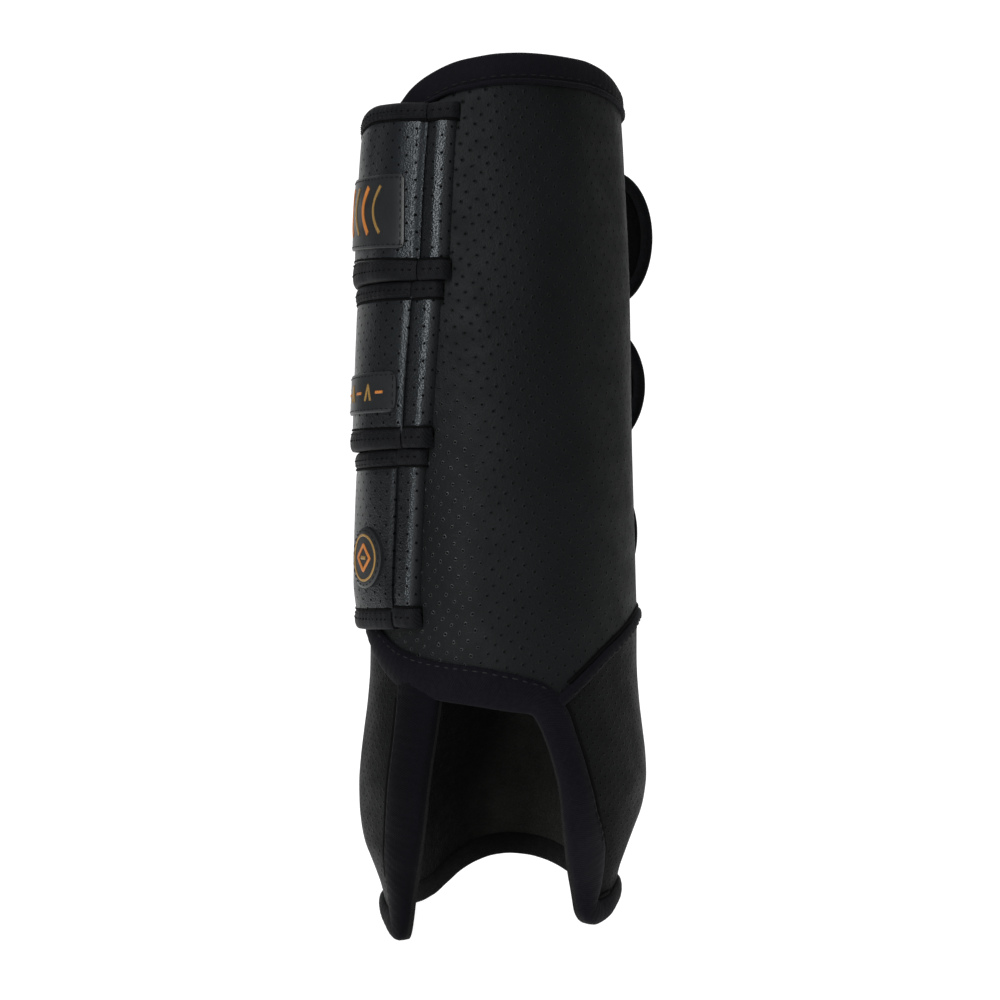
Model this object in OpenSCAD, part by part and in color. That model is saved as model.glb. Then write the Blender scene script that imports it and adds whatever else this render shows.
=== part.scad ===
// Tendon boot for a horse's hind leg: a padded wrap that closes round the
// cannon bone with three hook-and-loop straps and cups the fetlock below.
// Front of the leg faces -Y, the closing side is -X, +Z is up the leg.
// Angles called "t" run round the leg: 0 at the front, 90 on the closing
// side, 180 at the back, negative on the inner side.

/* [Leg and wall] */
// Radius of the leg passage inside the liner
bore_r = 39; // [36:0.5:41]
// Thickness of the cushioned liner
liner_t = 4.5; // [4:0.5:6]
// Thickness of the outer shell
shell_t = 1.7; // [1.4:0.1:2]
// Height of the boot at the top of the front
height = 290; // [285:1:300]
// Width of the sewn edge binding
bind_w = 9; // [7:1:10]

/* [Straps] */
// Gap between a closed strap and the shell
strap_gap = 1.2; // [1:0.1:1.5]
// Thickness of a strap
strap_t = 2.4; // [2:0.1:3]
// Reach of the upper strap tip past the middle of the back
upper_reach = 56; // [48:1:60]
// Reach of the middle strap tip past the middle of the back
middle_reach = 53; // [46:1:58]
// Reach of the lower strap tip past the middle of the back
lower_reach = 50; // [44:1:56]

/* [Fetlock cup] */
// Largest radius of the fetlock cup
cup_r = 50.3; // [49:0.1:52]
// Height of the cup seam on the inner side and back
seam_z = 108; // [104:1:110]
// Height of the cup seam on the closing side, under the lower strap
seam_left = 102; // [99:0.5:102]

/* [Hidden] */
$fn = 96;
eps = 0.01;
// centre of the leg passage, so that the origin is at the middle of the base
axis_x = -(upper_reach - cup_r) / 2;
axis_y = -1.17;
r_shell = bore_r + liner_t;           // inside of the outer shell
r_out = r_shell + shell_t;            // outside of the outer shell
r_strap = r_out + strap_gap;          // inside of a closed strap
r_strap_out = r_strap + strap_t;      // outside of a closed strap
guard_t = 1.5;                        // hard insert thickness
guard_r = r_shell - guard_t;          // inside of a hard insert
cup_t = 5.6;                          // fetlock cup wall
cup_skin = 1.6;                       // outer skin of the cup
edge_t = 88;                          // closing edge of the front panel
flap_t = 88.6;                        // free edge of the side flap
back_gap = 0.35;                      // half gap at the fold line
peel_t = 98;                          // fold line of a strap
back_flat = r_out + 0.9;              // the cup is flat behind this plane

// outside of the fetlock cup: height, radius
cup_out = [[0, 40.2], [4, 41.0], [9, 42.0], [16, 44.2], [25, 47.0],
           [34, 49.2], [44, cup_r], [56, cup_r], [70, 49.6], [86, 48.4],
           [100, 47.3], [112, 46.6]];

// top edge of the boot: x, height below the highest point
top_line = [[-60, 20], [-46, 18], [-32, 13.5], [-18, 6.5], [-4, 1.5],
            [10, 0], [24, 0.6], [36, 2.4], [47, 5], [60, 6.5]];

// lower edge of the front panel: x, height
front_line = [[-60, 105], [-46, 101], [-43, 96], [-36, 87], [-27, 84.5],
              [-18, 83.5], [0, 80.5], [17, 77]];

// edges of the front opening between the two prongs: x, height
right_edge = [[17, 78], [21, 62], [23, 47], [24.5, 28], [27, 7], [29, -2]];
left_edge = [[-23.5, 87], [-25, 60], [-26, 40], [-28, 22], [-31, 8], [-33, -2]];

// per strap: low z, high z, low z and high z of the tip half,
// base strip start and end angle, reach of the tip
upper = [217.0, 274, 217.6, 267, 19.8, 31, upper_reach];
middle = [163.2, 216.4, 163.8, 211.4, 26.8, 37.8, middle_reach];
lower = [104.6, 162.6, 106, 158, 33, 44.6, lower_reach];

black = [0.07, 0.07, 0.075];
binding_black = [0.05, 0.05, 0.06];
grey = [0.12, 0.12, 0.125];
gold = [0.62, 0.50, 0.28];

// ---- building blocks ----

module place() { translate([axis_x, axis_y, 0]) children(); }

// part of a ring between two angles round the leg
module arc(r0, r1, z0, z1, t0, t1) {
  rotate([0, 0, 270 - t1])
    rotate_extrude(angle = t1 - t0)
      translate([r0, z0]) square([r1 - r0, z1 - z0]);
}

// wall of the fetlock cup between two depths below its outside
module cup_wall(d0, d1, t0, t1) {
  n = len(cup_out);
  rotate([0, 0, 270 - t1])
    rotate_extrude(angle = t1 - t0)
      polygon(concat(
        [for (p = cup_out) [p[1] - d0, p[0]]],
        [for (i = [n - 1:-1:0]) [cup_out[i][1] - d1, cup_out[i][0]]]));
}

// a plate outline in x and z, from y0 to y1
module xz(y0, y1) {
  translate([0, y1, 0]) rotate([90, 0, 0]) linear_extrude(y1 - y0) children();
}

// a plate outline in y and z, from x0 to x1
module yz(x0, x1) {
  translate([x0, 0, 0]) rotate([90, 0, 90]) linear_extrude(x1 - x0) children();
}

// everything above the top edge, lowered by d
module above_top(d) {
  xz(-70, 70)
    polygon(concat([[60, height + 30], [-60, height + 30]],
                   [for (p = top_line) [p[0], height - p[1] - d]]));
}

// everything below the front panel's lower edge, raised by d, in front of y1
module below_front(d, y1 = 0) {
  xz(-70, y1)
    polygon(concat([for (p = front_line) [p[0], p[1] + d]],
                   [[17 + d, 77 + d], [17 + d, -20], [-60, -20]]));
}

// everything below the cup seam, raised by d: low at the front
module below_seam(d, h = seam_z) {
  yz(-70, 70)
    polygon([[-70, -20], [-70, h + d - 44], [-4, h + d],
             [70, h + d], [70, -20]]);
}

// the front opening, widened by d on the inner side
module right_opening(d) {
  xz(-70, 0)
    polygon(concat([[-10, -20], [-10, 120], [17 + d, 120]],
                   [for (p = right_edge) [p[0] + d, p[1]]],
                   [[29 + d, -20]]));
}

// the front opening, widened by d on the closing side
module left_opening(d) {
  xz(-70, 0)
    polygon(concat([[40, -20], [40, 120], [-23.5 - d, 120]],
                   [for (p = left_edge) [p[0] - d, p[1]]],
                   [[-33 - d, -20]]));
}

// the cup is hollowed by an arch at the lower back
module back_arch(d) {
  xz(5, 70)
    polygon([[-34 - d, -20], [-26 - d, -1], [-19 - d, 4.5 + d], [-11.5, 9.3 + d],
             [-3, 12.3 + d], [4, 12.8 + d], [11, 12.3 + d], [19.5, 9.3 + d],
             [27 + d, 4.5 + d], [34 + d, -1], [42 + d, -20]]);
}

// hem of the cup: a strip along its lower edge
module hem_zone() {
  union() {
    translate([-70, -70, -20]) cube([140, 140, 20 + 7]);
    back_arch(7);
  }
}

// ---- cannon wrap ----

module tube(r0, r1, t0, t1) {
  difference() {
    arc(r0, r1, 40, height + 5, t0, t1);
    above_top(bind_w);
  }
}

module front_wall(r0, r1, t1 = edge_t) {
  difference() {
    tube(r0, r1, -180 + back_gap * 180 / (PI * r_out), t1);
    below_front(bind_w, -5);
    difference() {
      below_seam(2);
      below_front(bind_w, -5);
      // the closing side hangs free over the cup
      translate([-70, -70, -20]) cube([70 - 20, 71.5, 200]);
    }
    translate([-70, -5, -20]) cube([50, 8, 20 + 101 + bind_w]);
  }
}

module outer_shell() {
  color(black) front_wall(r_shell, r_out, edge_t - 8);
}

module shell_liner() {
  color(grey) difference() {
    front_wall(bore_r, r_shell, edge_t - 8);
    tendon_slot(r_shell + 3);
    shin_slot(r_shell + 3);
  }
}

// pockets for the stiff inserts, open towards the shell
module tendon_slot(r1) { arc(guard_r, r1, 122, 262, -172, -112); }
module shin_slot(r1) { arc(guard_r, r1, 108, 262, -48, 16); }

module tendon_guard() { color("dimgray") tendon_slot(r_shell); }
module shin_guard() { color("dimgray") shin_slot(r_shell); }

module top_binding() {
  color(binding_black) intersection() {
    difference() {
      arc(bore_r, r_out + 0.6, 240, height + 5,
          -180 + back_gap * 180 / (PI * r_out), edge_t);
      above_top(0);
    }
    above_top(bind_w);
  }
}

module cutout_binding() {
  color(binding_black) difference() {
    intersection() {
      arc(bore_r, r_out + 0.6, 40, 130, -40, edge_t - 8);
      union() {
        below_front(bind_w, -5);
        translate([-70, -5, -20]) cube([50, 8, 20 + 101 + bind_w]);
      }
    }
    below_front(0, 10);
    translate([16.6, -70, 0]) cube([60, 140, 200]);
  }
}

module closure_binding() {
  color(binding_black) difference() {
    arc(bore_r, r_out + 0.6, 100, height + 5, edge_t - 8, edge_t);
    above_top(bind_w);
    below_front(0, 10);
  }
}

// ---- fetlock cup, inner half ----

module right_cup_region() {
  difference() {
    children();
    difference() {
      translate([-80, -80, -20]) cube([160, 160, 200]);
      below_seam(0);
    }
    right_opening(0);
    back_arch(0);
    translate([-80, back_flat, -20]) cube([160, 80, 200]);
  }
}

module right_zone() { arc(20, 70, -5, 130, -180 + 0.45, 0); }

module right_fetlock_cup() {
  color(black) difference() {
    right_cup_region() cup_wall(0, cup_skin, -180 + 0.45, -10);
    right_opening(bind_w);
    hem_zone();
  }
}

module right_cup_liner() {
  color(grey) difference() {
    right_cup_region() cup_wall(cup_skin, cup_t, -180 + 0.45, -10);
    right_opening(bind_w);
    hem_zone();
  }
}

module right_prong_binding() {
  color(binding_black) intersection() {
    right_cup_region() cup_wall(-0.5, cup_t + 0.4, -100, -10);
    right_opening(bind_w);
  }
}

module right_hem_binding() {
  color(binding_black) intersection() {
    difference() {
      right_cup_region() cup_wall(-0.5, cup_t + 0.4, -180 + 0.45, -10);
      right_opening(bind_w);
    }
    hem_zone();
  }
}

module right_seam_piping() {
  color(binding_black) difference() {
    intersection() {
      arc(bore_r, r_out + 1.4, 60, 130, -180 + 0.45, -22);
      below_seam(2);
    }
    below_seam(0);
    translate([-80, back_flat, -20]) cube([160, 80, 200]);
    below_front(bind_w, -5);
  }
}

module back_loop_panel() {
  color(grey) arc(r_out, r_out + 0.7, 112, 264, -174, -142);
}

// ---- sewn strap bases ----

module strap_base(s) {
  color(black) arc(r_out, r_strap_out - 1.2, s[0] + 0.6, min(s[1] - 0.6, 271), s[4], s[5] - 0.4);
}

// ---- side flap: under the straps on the closing side ----

flap_end = 180 - back_gap * 180 / (PI * r_out);

module flap_shell() {
  color(black) difference() {
    tube(r_shell, r_out, flap_t + 8, flap_end);
    below_seam(2, seam_left);
  }
}

module flap_liner() {
  color(grey) difference() {
    tube(bore_r, r_shell, flap_t + 8, flap_end);
    below_seam(2, seam_left);
  }
}

module flap_top_binding() {
  color(binding_black) intersection() {
    difference() {
      arc(bore_r, r_out + 0.6, 240, height + 5, flap_t, flap_end);
      above_top(0);
    }
    above_top(bind_w);
  }
}

module flap_edge_binding() {
  color(binding_black) difference() {
    arc(bore_r, r_out + 0.6, 60, height + 5, flap_t, flap_t + 8);
    above_top(bind_w);
    below_seam(2, seam_left);
  }
}

module left_cup_region() {
  difference() {
    children();
    difference() {
      translate([-80, -80, -20]) cube([160, 160, 200]);
      below_seam(0, seam_left);
    }
    // clear of the front panel, which hangs over it
    difference() {
      translate([-80, -80, -20]) cube([160, 83.2, 200]);
      below_front(-0.6, 3.4);
    }
    left_opening(0);
    back_arch(0);
    translate([-80, back_flat, -20]) cube([160, 80, 200]);
  }
}

module left_fetlock_cup() {
  color(black) difference() {
    left_cup_region() cup_wall(0, cup_skin, 10, 180 - 0.45);
    left_opening(bind_w);
    hem_zone();
  }
}

module left_cup_liner() {
  color(grey) difference() {
    left_cup_region() cup_wall(cup_skin, cup_t, 10, 180 - 0.45);
    left_opening(bind_w);
    hem_zone();
  }
}

module left_prong_binding() {
  color(binding_black) intersection() {
    left_cup_region() cup_wall(-0.5, cup_t + 0.4, 10, 100);
    left_opening(bind_w);
  }
}

module left_hem_binding() {
  color(binding_black) intersection() {
    difference() {
      left_cup_region() cup_wall(-0.5, cup_t + 0.4, 10, 180 - 0.45);
      left_opening(bind_w);
    }
    hem_zone();
  }
}

module left_seam_piping() {
  color(binding_black) difference() {
    intersection() {
      arc(bore_r, r_out + 1.4, 60, 130, flap_t, 180 - 0.45);
      below_seam(2, seam_left);
    }
    below_seam(0, seam_left);
    translate([-80, back_flat, -20]) cube([160, 80, 200]);
  }
}

module side_loop_panel() {
  color(grey) arc(r_out, r_out + 0.7, 112, 256, 102, 174);
}

// ---- straps ----

strap_bind = 5.6;
end_bind = 4;

module strap(s) {
  color(black) arc(r_strap, r_strap_out, s[0] + strap_bind, s[1] - strap_bind, s[5], peel_t);
}

module strap_binding(s) {
  color(binding_black) {
    arc(r_strap, r_strap_out + 0.3, s[0], s[0] + strap_bind, s[5], peel_t);
    arc(r_strap, r_strap_out + 0.3, s[1] - strap_bind, s[1], s[5], peel_t);
  }
}

// outline of the rounded tip, inset by d
module tongue(s, d, y0, y1) {
  h = s[3] - s[2] - 2 * d;
  zc = (s[2] + s[3]) / 2;
  xz(y0, y1) {
    translate([-0.2, zc - h / 2]) square([s[6] - d - h / 2 + 0.2, h]);
    translate([s[6] - d - h / 2, zc]) circle(d = h);
  }
}

module end_layer(s, d, r0, r1) {
  arc(r0, r1, s[2] + d, s[3] - d, peel_t + 0.5, 180);
  tongue(s, d, r0, r1);
}

module strap_end(s) {
  color(black) end_layer(s, end_bind, r_strap + 1.1, r_strap_out);
}

module hook_pad(s) {
  color(grey) end_layer(s, end_bind, r_strap, r_strap + 1.1);
}

module end_binding(s) {
  color(binding_black) difference() {
    end_layer(s, 0, r_strap, r_strap_out + 0.1);
    arc(r_strap - 1, r_strap_out + 1, s[2] + end_bind, s[3] - end_bind, peel_t, 180.5);
    tongue(s, end_bind, r_strap - 1, r_strap_out + 1);
  }
}

module upper_badge() {
  color(gold) arc(r_strap_out, r_strap_out + 1, 229.5, 253, 37.4, 91.5);
}

module middle_badge() {
  color(gold) arc(r_strap_out, r_strap_out + 1, 174.2, 187.6, 41, 91.5);
}

// round badge laid on the curve of the strap
module lower_badge() {
  color(gold) intersection() {
    arc(r_strap_out, r_strap_out + 1, 112.9, 140, 46, 90);
    rotate([0, 0, -62.8]) translate([0, 0, 126]) rotate([90, 0, 0])
      cylinder(r = 10.3, h = 70);
  }
}

place() outer_shell();
place() shell_liner();
place() tendon_guard();
place() shin_guard();
place() right_fetlock_cup();
place() right_cup_liner();
place() top_binding();
place() cutout_binding();
place() closure_binding();
place() right_prong_binding();
place() right_hem_binding();
place() right_seam_piping();
place() back_loop_panel();
place() strap_base(upper);  // upper_strap_base
place() strap_base(middle);  // middle_strap_base
place() strap_base(lower);  // lower_strap_base
place() flap_shell();
place() flap_liner();
place() left_fetlock_cup();
place() left_cup_liner();
place() flap_top_binding();
place() flap_edge_binding();
place() left_prong_binding();
place() left_hem_binding();
place() left_seam_piping();
place() side_loop_panel();
place() strap(upper);  // upper_strap
place() strap_binding(upper);  // upper_strap_binding
place() upper_badge();
place() strap_end(upper);  // upper_strap_end
place() end_binding(upper);  // upper_end_binding
place() hook_pad(upper);  // upper_hook_pad
place() strap(middle);  // middle_strap
place() strap_binding(middle);  // middle_strap_binding
place() middle_badge();
place() strap_end(middle);  // middle_strap_end
place() end_binding(middle);  // middle_end_binding
place() hook_pad(middle);  // middle_hook_pad
place() strap(lower);  // lower_strap
place() strap_binding(lower);  // lower_strap_binding
place() lower_badge();
place() strap_end(lower);  // lower_strap_end
place() end_binding(lower);  // lower_end_binding
place() hook_pad(lower);  // lower_hook_pad
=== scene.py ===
"""Tendon boot: sewn, perforated leather wrap with bound edges, straps and liner."""

import bpy
import math
import numpy as np
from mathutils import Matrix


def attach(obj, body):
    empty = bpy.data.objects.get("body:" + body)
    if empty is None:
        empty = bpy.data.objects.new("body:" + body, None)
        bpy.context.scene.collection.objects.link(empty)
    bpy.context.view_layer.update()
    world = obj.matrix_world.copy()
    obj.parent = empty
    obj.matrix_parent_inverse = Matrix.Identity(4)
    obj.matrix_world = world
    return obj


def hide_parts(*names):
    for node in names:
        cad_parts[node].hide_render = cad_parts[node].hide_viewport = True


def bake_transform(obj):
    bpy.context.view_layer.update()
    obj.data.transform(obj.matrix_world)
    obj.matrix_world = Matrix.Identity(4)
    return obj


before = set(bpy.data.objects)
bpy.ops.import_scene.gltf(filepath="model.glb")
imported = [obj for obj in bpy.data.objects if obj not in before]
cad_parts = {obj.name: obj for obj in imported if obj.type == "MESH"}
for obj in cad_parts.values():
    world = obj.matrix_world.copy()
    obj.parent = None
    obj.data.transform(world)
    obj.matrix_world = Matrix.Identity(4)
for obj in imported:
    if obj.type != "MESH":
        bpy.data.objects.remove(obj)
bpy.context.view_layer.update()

MM = 0.001
AX, AY = -2.85, -1.17          # axis of the leg passage
R0 = 46.5                      # radius that turns an angle into a length along the wall
D2S = math.pi / 180 * R0
rng = np.random.default_rng(7)


# ---------------------------------------------------------------- curves
class Curve:
    """Smooth monotone curve through given points."""

    def __init__(self, pts):
        pts = sorted(pts)
        self.x = np.array([p[0] for p in pts], float)
        self.y = np.array([p[1] for p in pts], float)
        h = np.diff(self.x)
        d = np.diff(self.y) / h
        m = np.zeros(len(pts))
        m[0], m[-1] = d[0], d[-1]
        for i in range(1, len(pts) - 1):
            if d[i - 1] * d[i] > 0:
                w1, w2 = 2 * h[i] + h[i - 1], h[i] + 2 * h[i - 1]
                m[i] = (w1 + w2) / (w1 / d[i - 1] + w2 / d[i])
        self.m = m

    def __call__(self, x):
        x = np.clip(np.asarray(x, float), self.x[0], self.x[-1])
        i = np.clip(np.searchsorted(self.x, x, side="right") - 1, 0, len(self.x) - 2)
        h = self.x[i + 1] - self.x[i]
        t = (x - self.x[i]) / h
        return ((1 + 2 * t) * (1 - t) ** 2 * self.y[i] + t * (1 - t) ** 2 * h * self.m[i]
                + t * t * (3 - 2 * t) * self.y[i + 1] + t * t * (t - 1) * h * self.m[i + 1])


def sstep(a, b, x):
    t = np.clip((np.asarray(x, float) - a) / (b - a), 0, 1)
    return t * t * (3 - 2 * t)


# outside of the wall: height to radius, inner (photo right) and closing side
R_RIGHT = Curve([(-6, 39.8), (2, 40.0), (8, 40.2), (13, 40.5), (18, 41.5), (23, 43.2), (28, 45.0), (34, 47.2),
                 (39, 49.0), (44, 50.1), (51, 50.8), (58, 50.5), (66, 49.6), (76, 48.4), (90, 47.4), (107, 47.2),
                 (117, 46.9), (159, 46.2), (211, 45.0), (263, 42.9), (279, 41.9), (292, 41.2)])
R_LEFT = Curve([(-6, 39.4), (2, 39.7), (8, 40.2), (13, 41.3), (18, 43.0), (23, 44.9), (28, 46.8), (34, 48.0),
                (40, 48.6), (48, 48.8), (56, 48.3), (66, 47.2), (76, 46.0), (88, 45.2), (104, 45.1),
                (117, 46.2), (159, 46.2), (211, 45.8), (263, 44.8), (279, 43.8), (292, 42.6)])


def wall_r(th, z):
    w = 0.5 + 0.5 * np.sin(np.radians(th))
    w = w * w * (3 - 2 * w)
    r = R_LEFT(z) * w + R_RIGHT(z) * (1 - w)
    # the hands that sewed it left it a little uneven
    r = r + 0.16 * np.sin(th * 0.11 + z * 0.045) + 0.12 * np.sin(th * 0.19 - z * 0.071 + 1.3)
    # the upper strap pulls the wall out beside its sewn strip
    r = r + 0.7 * sstep(8, 20, th) * (1 - sstep(30, 75, th)) * sstep(222, 258, z)
    return r


def on_wall(s, z, dr):
    """Length along the wall from the front, height, distance off the wall -> position."""
    s, z, dr = np.broadcast_arrays(np.asarray(s, float), np.asarray(z, float), np.asarray(dr, float))
    th = s / D2S
    a = np.radians(th)
    r = wall_r(th, z) + dr
    off = (th % 360.0) - 52.0
    kick = 10.5 * np.exp(-(off / 17.0) ** 2) * (1 - sstep(-2, 40, z))      # the tip of the closing prong bends forward
    return np.stack([AX - r * np.sin(a), AY - r * np.cos(a) - kick, z], -1) * MM


# ---------------------------------------------------------------- meshes
def make(name, verts, faces, mat, uvs=None, sharp=42):
    me = bpy.data.meshes.new(name)
    v = np.asarray(verts, float).reshape(-1, 3)
    me.from_pydata(v.tolist(), [], [list(map(int, f)) for f in faces])
    if uvs is not None:
        layer = me.uv_layers.new(name="cloth")
        uv = np.asarray(uvs, float).reshape(-1, 2)
        idx = np.empty(len(me.loops), np.int32)
        me.loops.foreach_get("vertex_index", idx)
        layer.data.foreach_set("uv", uv[idx].ravel())
    me.polygons.foreach_set("use_smooth", [True] * len(me.polygons))
    me.materials.append(mat)
    me.update()
    if sharp:
        me.set_sharp_from_angle(angle=math.radians(sharp))
    ob = bpy.data.objects.new(name, me)
    bpy.context.collection.objects.link(ob)
    return ob


def fix_normals(ob):
    import bmesh
    bm = bmesh.new()
    bm.from_mesh(ob.data)
    bmesh.ops.recalc_face_normals(bm, faces=bm.faces)
    bm.to_mesh(ob.data)
    bm.free()
    return ob


def grid_faces(nu, nv, off=0, wrap_v=False, flip=False):
    f = []
    for i in range(nu - 1):
        for j in range(nv if wrap_v else nv - 1):
            a = off + i * nv + j
            b = off + i * nv + (j + 1) % nv
            c = off + (i + 1) * nv + (j + 1) % nv
            d = off + (i + 1) * nv + j
            f.append((a, d, c, b) if flip else (a, b, c, d))
    return f


def slab(name, S, Z, out, inn, mat, mapping=on_wall, along=None):
    """A sheet with thickness: grids of length and height, and the two distances off the wall."""
    nu, nv = S.shape
    po = mapping(S, Z, out).reshape(-1, 3)
    pi = mapping(S, Z, inn).reshape(-1, 3)
    n = nu * nv
    faces = grid_faces(nu, nv) + grid_faces(nu, nv, n, flip=True)
    ring = ([i * nv for i in range(nu)] + [(nu - 1) * nv + j for j in range(1, nv)]
            + [i * nv + nv - 1 for i in range(nu - 2, -1, -1)] + [j for j in range(nv - 2, 0, -1)])
    for a, b in zip(ring, ring[1:] + ring[:1]):
        faces.append((a, b, b + n, a + n))
    uv = np.stack([(S if along is None else along).ravel(), Z.ravel()], -1) * MM
    ob = make(name, np.concatenate([po, pi]), faces, mat, np.concatenate([uv, uv]))
    return fix_normals(ob)


def resample(path, step):
    path = np.asarray(path, float)
    d = np.concatenate([[0], np.cumsum(np.hypot(*np.diff(path, axis=0).T))])
    n = max(3, int(round(d[-1] / step)) + 1)
    q = np.linspace(0, d[-1], n)
    return np.stack([np.interp(q, d, path[:, k]) for k in range(path.shape[1])], -1), q


def frames(path, side):
    t = np.gradient(path, axis=0)
    t /= np.linalg.norm(t, axis=1)[:, None]
    n = side * np.stack([-t[:, 1], t[:, 0]], -1)
    # calm the normals so that a wide strip doesn't fold in a corner
    for _ in range(6):
        n[1:-1] = (n[:-2] + 2 * n[1:-1] + n[2:]) / 4
    n /= np.linalg.norm(n, axis=1)[:, None]
    return t, n


def strip(name, path, width, side, thick, mat, mapping=on_wall, step=1.1, lift=0.0, closed=False, puff=0.35, inner=1.0, lining=None):
    """Folded binding along an edge: path in length and height, width inwards, over a wall of that thickness."""
    p, q = resample(path, step)
    t, n = frames(p[:, :2], side)
    w = np.interp(np.linspace(0, 1, len(p)), np.linspace(0, 1, len(np.atleast_1d(width))), np.atleast_1d(width))
    prof = [(a_, 0.2 + (0.75 + puff) * max(0.0, math.sin(math.pi * (0.02 + 0.96 * a_))) ** 0.55)
            for a_ in (1.0, 0.98, 0.94, 0.88, 0.78, 0.66, 0.5, 0.34, 0.22, 0.12, 0.05, 0.01)] + [(-0.04, 0.1)]
    back = [(-0.06, -0.5), (-0.045, -1.0), (0.02, -1.25), (0.1, -1.4), (0.3, -1.55 * inner), (0.6, -1.5 * inner), (0.9, -1.3), (1.0, -0.9)]
    cols, uvv, acc, last = [], [], 0.0, None
    wob = 0.08 * np.sin(q * 1.96) + 0.06 * np.sin(q * 0.53 + 1)
    for k, (a, b) in enumerate(prof + back):
        if k < len(prof):
            dr = lift + b + (wob * (a > 0.1) * (a < 0.96))
        else:
            dr = lift + (b + 0.5) - thick * np.clip(-b / 1.0, 0, 1)
        pos = p[:, :2] + n * (a * w)[:, None]
        cols.append(mapping(pos[:, 0], pos[:, 1], dr * np.ones(len(p))))
        now = np.array([a * np.mean(w), np.mean(dr)])
        if last is not None:
            acc += np.hypot(*(now - last))
        last = now
        uvv.append(acc)
    V = np.stack(cols, 1)
    nu, nv = V.shape[:2]
    faces = grid_faces(nu, nv, wrap_v=True)
    faces.append(tuple(range(nv)))
    faces.append(tuple((nu - 1) * nv + j for j in range(nv - 1, -1, -1)))
    uv = np.stack([np.repeat(q[:, None], nv, 1), np.repeat(np.array(uvv)[None], nu, 0)], -1) * MM
    ob = make(name, V, faces, mat, uv, sharp=55)
    if lining is not None:
        ob.data.materials.append(lining)
        m_ = len(prof)
        ob.data.polygons.foreach_set("material_index", [int(all(v_ % nv >= m_ for v_ in pl.vertices)) for pl in ob.data.polygons])
    return fix_normals(ob)


def stitches(name, rows, mat, pitch=3.3, length=2.3, rad=0.26):
    """Rows of thread. Each row: path, side, distance in from the path, lift off the wall, mapping."""
    V, F, U = [], [], []
    ring = [(math.cos(a), math.sin(a)) for a in np.linspace(0, 2 * math.pi, 7)[:-1]]
    st = [(-0.5, 0.35, -0.55), (-0.36, 0.85, -0.05), (0, 1.0, 0.2), (0.36, 0.85, -0.05), (0.5, 0.35, -0.55)]
    for path, side, inset, lift, mapping in rows:
        p, q = resample(path, 0.55)
        t, n = frames(p[:, :2], side)
        ins = np.interp(np.linspace(0, 1, len(p)), np.linspace(0, 1, len(np.atleast_1d(inset))), np.atleast_1d(inset))
        c = p[:, :2] + n * ins[:, None]
        pos = mapping(c[:, 0], c[:, 1], lift)
        up = mapping(c[:, 0], c[:, 1], lift + 1.0) - pos
        up /= np.linalg.norm(up, axis=1)[:, None]
        d = np.concatenate([[0], np.cumsum(np.linalg.norm(np.diff(pos, axis=0), axis=1))]) / MM
        for k in range(int(d[-1] / pitch)):
            at = (k + 0.5) * pitch
            L = length * rng.uniform(0.88, 1.1)
            base = len(V)
            for f, rr, hh in st:
                x = np.array([np.interp(at + f * L, d, pos[:, m]) for m in range(3)])
                x2 = np.array([np.interp(at + f * L + 0.2, d, pos[:, m]) for m in range(3)])
                x1 = np.array([np.interp(at + f * L - 0.2, d, pos[:, m]) for m in range(3)])
                u = np.array([np.interp(at + f * L, d, up[:, m]) for m in range(3)])
                tt = x2 - x1
                tt /= np.linalg.norm(tt) + 1e-12
                b = np.cross(tt, u)
                b /= np.linalg.norm(b) + 1e-12
                for cx, cy in ring:
                    V.append(x + u * hh * rad * MM + (b * cx + u * cy) * rr * rad * MM)
                    U.append((at * MM, f * MM))
            m = len(ring)
            for i in range(len(st) - 1):
                for j in range(m):
                    F.append((base + i * m + j, base + i * m + (j + 1) % m, base + (i + 1) * m + (j + 1) % m, base + (i + 1) * m + j))
            F.append(tuple(base + j for j in range(m - 1, -1, -1)))
            F.append(tuple(base + (len(st) - 1) * m + j for j in range(m)))
    return fix_normals(make(name, V, F, mat, U, sharp=0))


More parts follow.
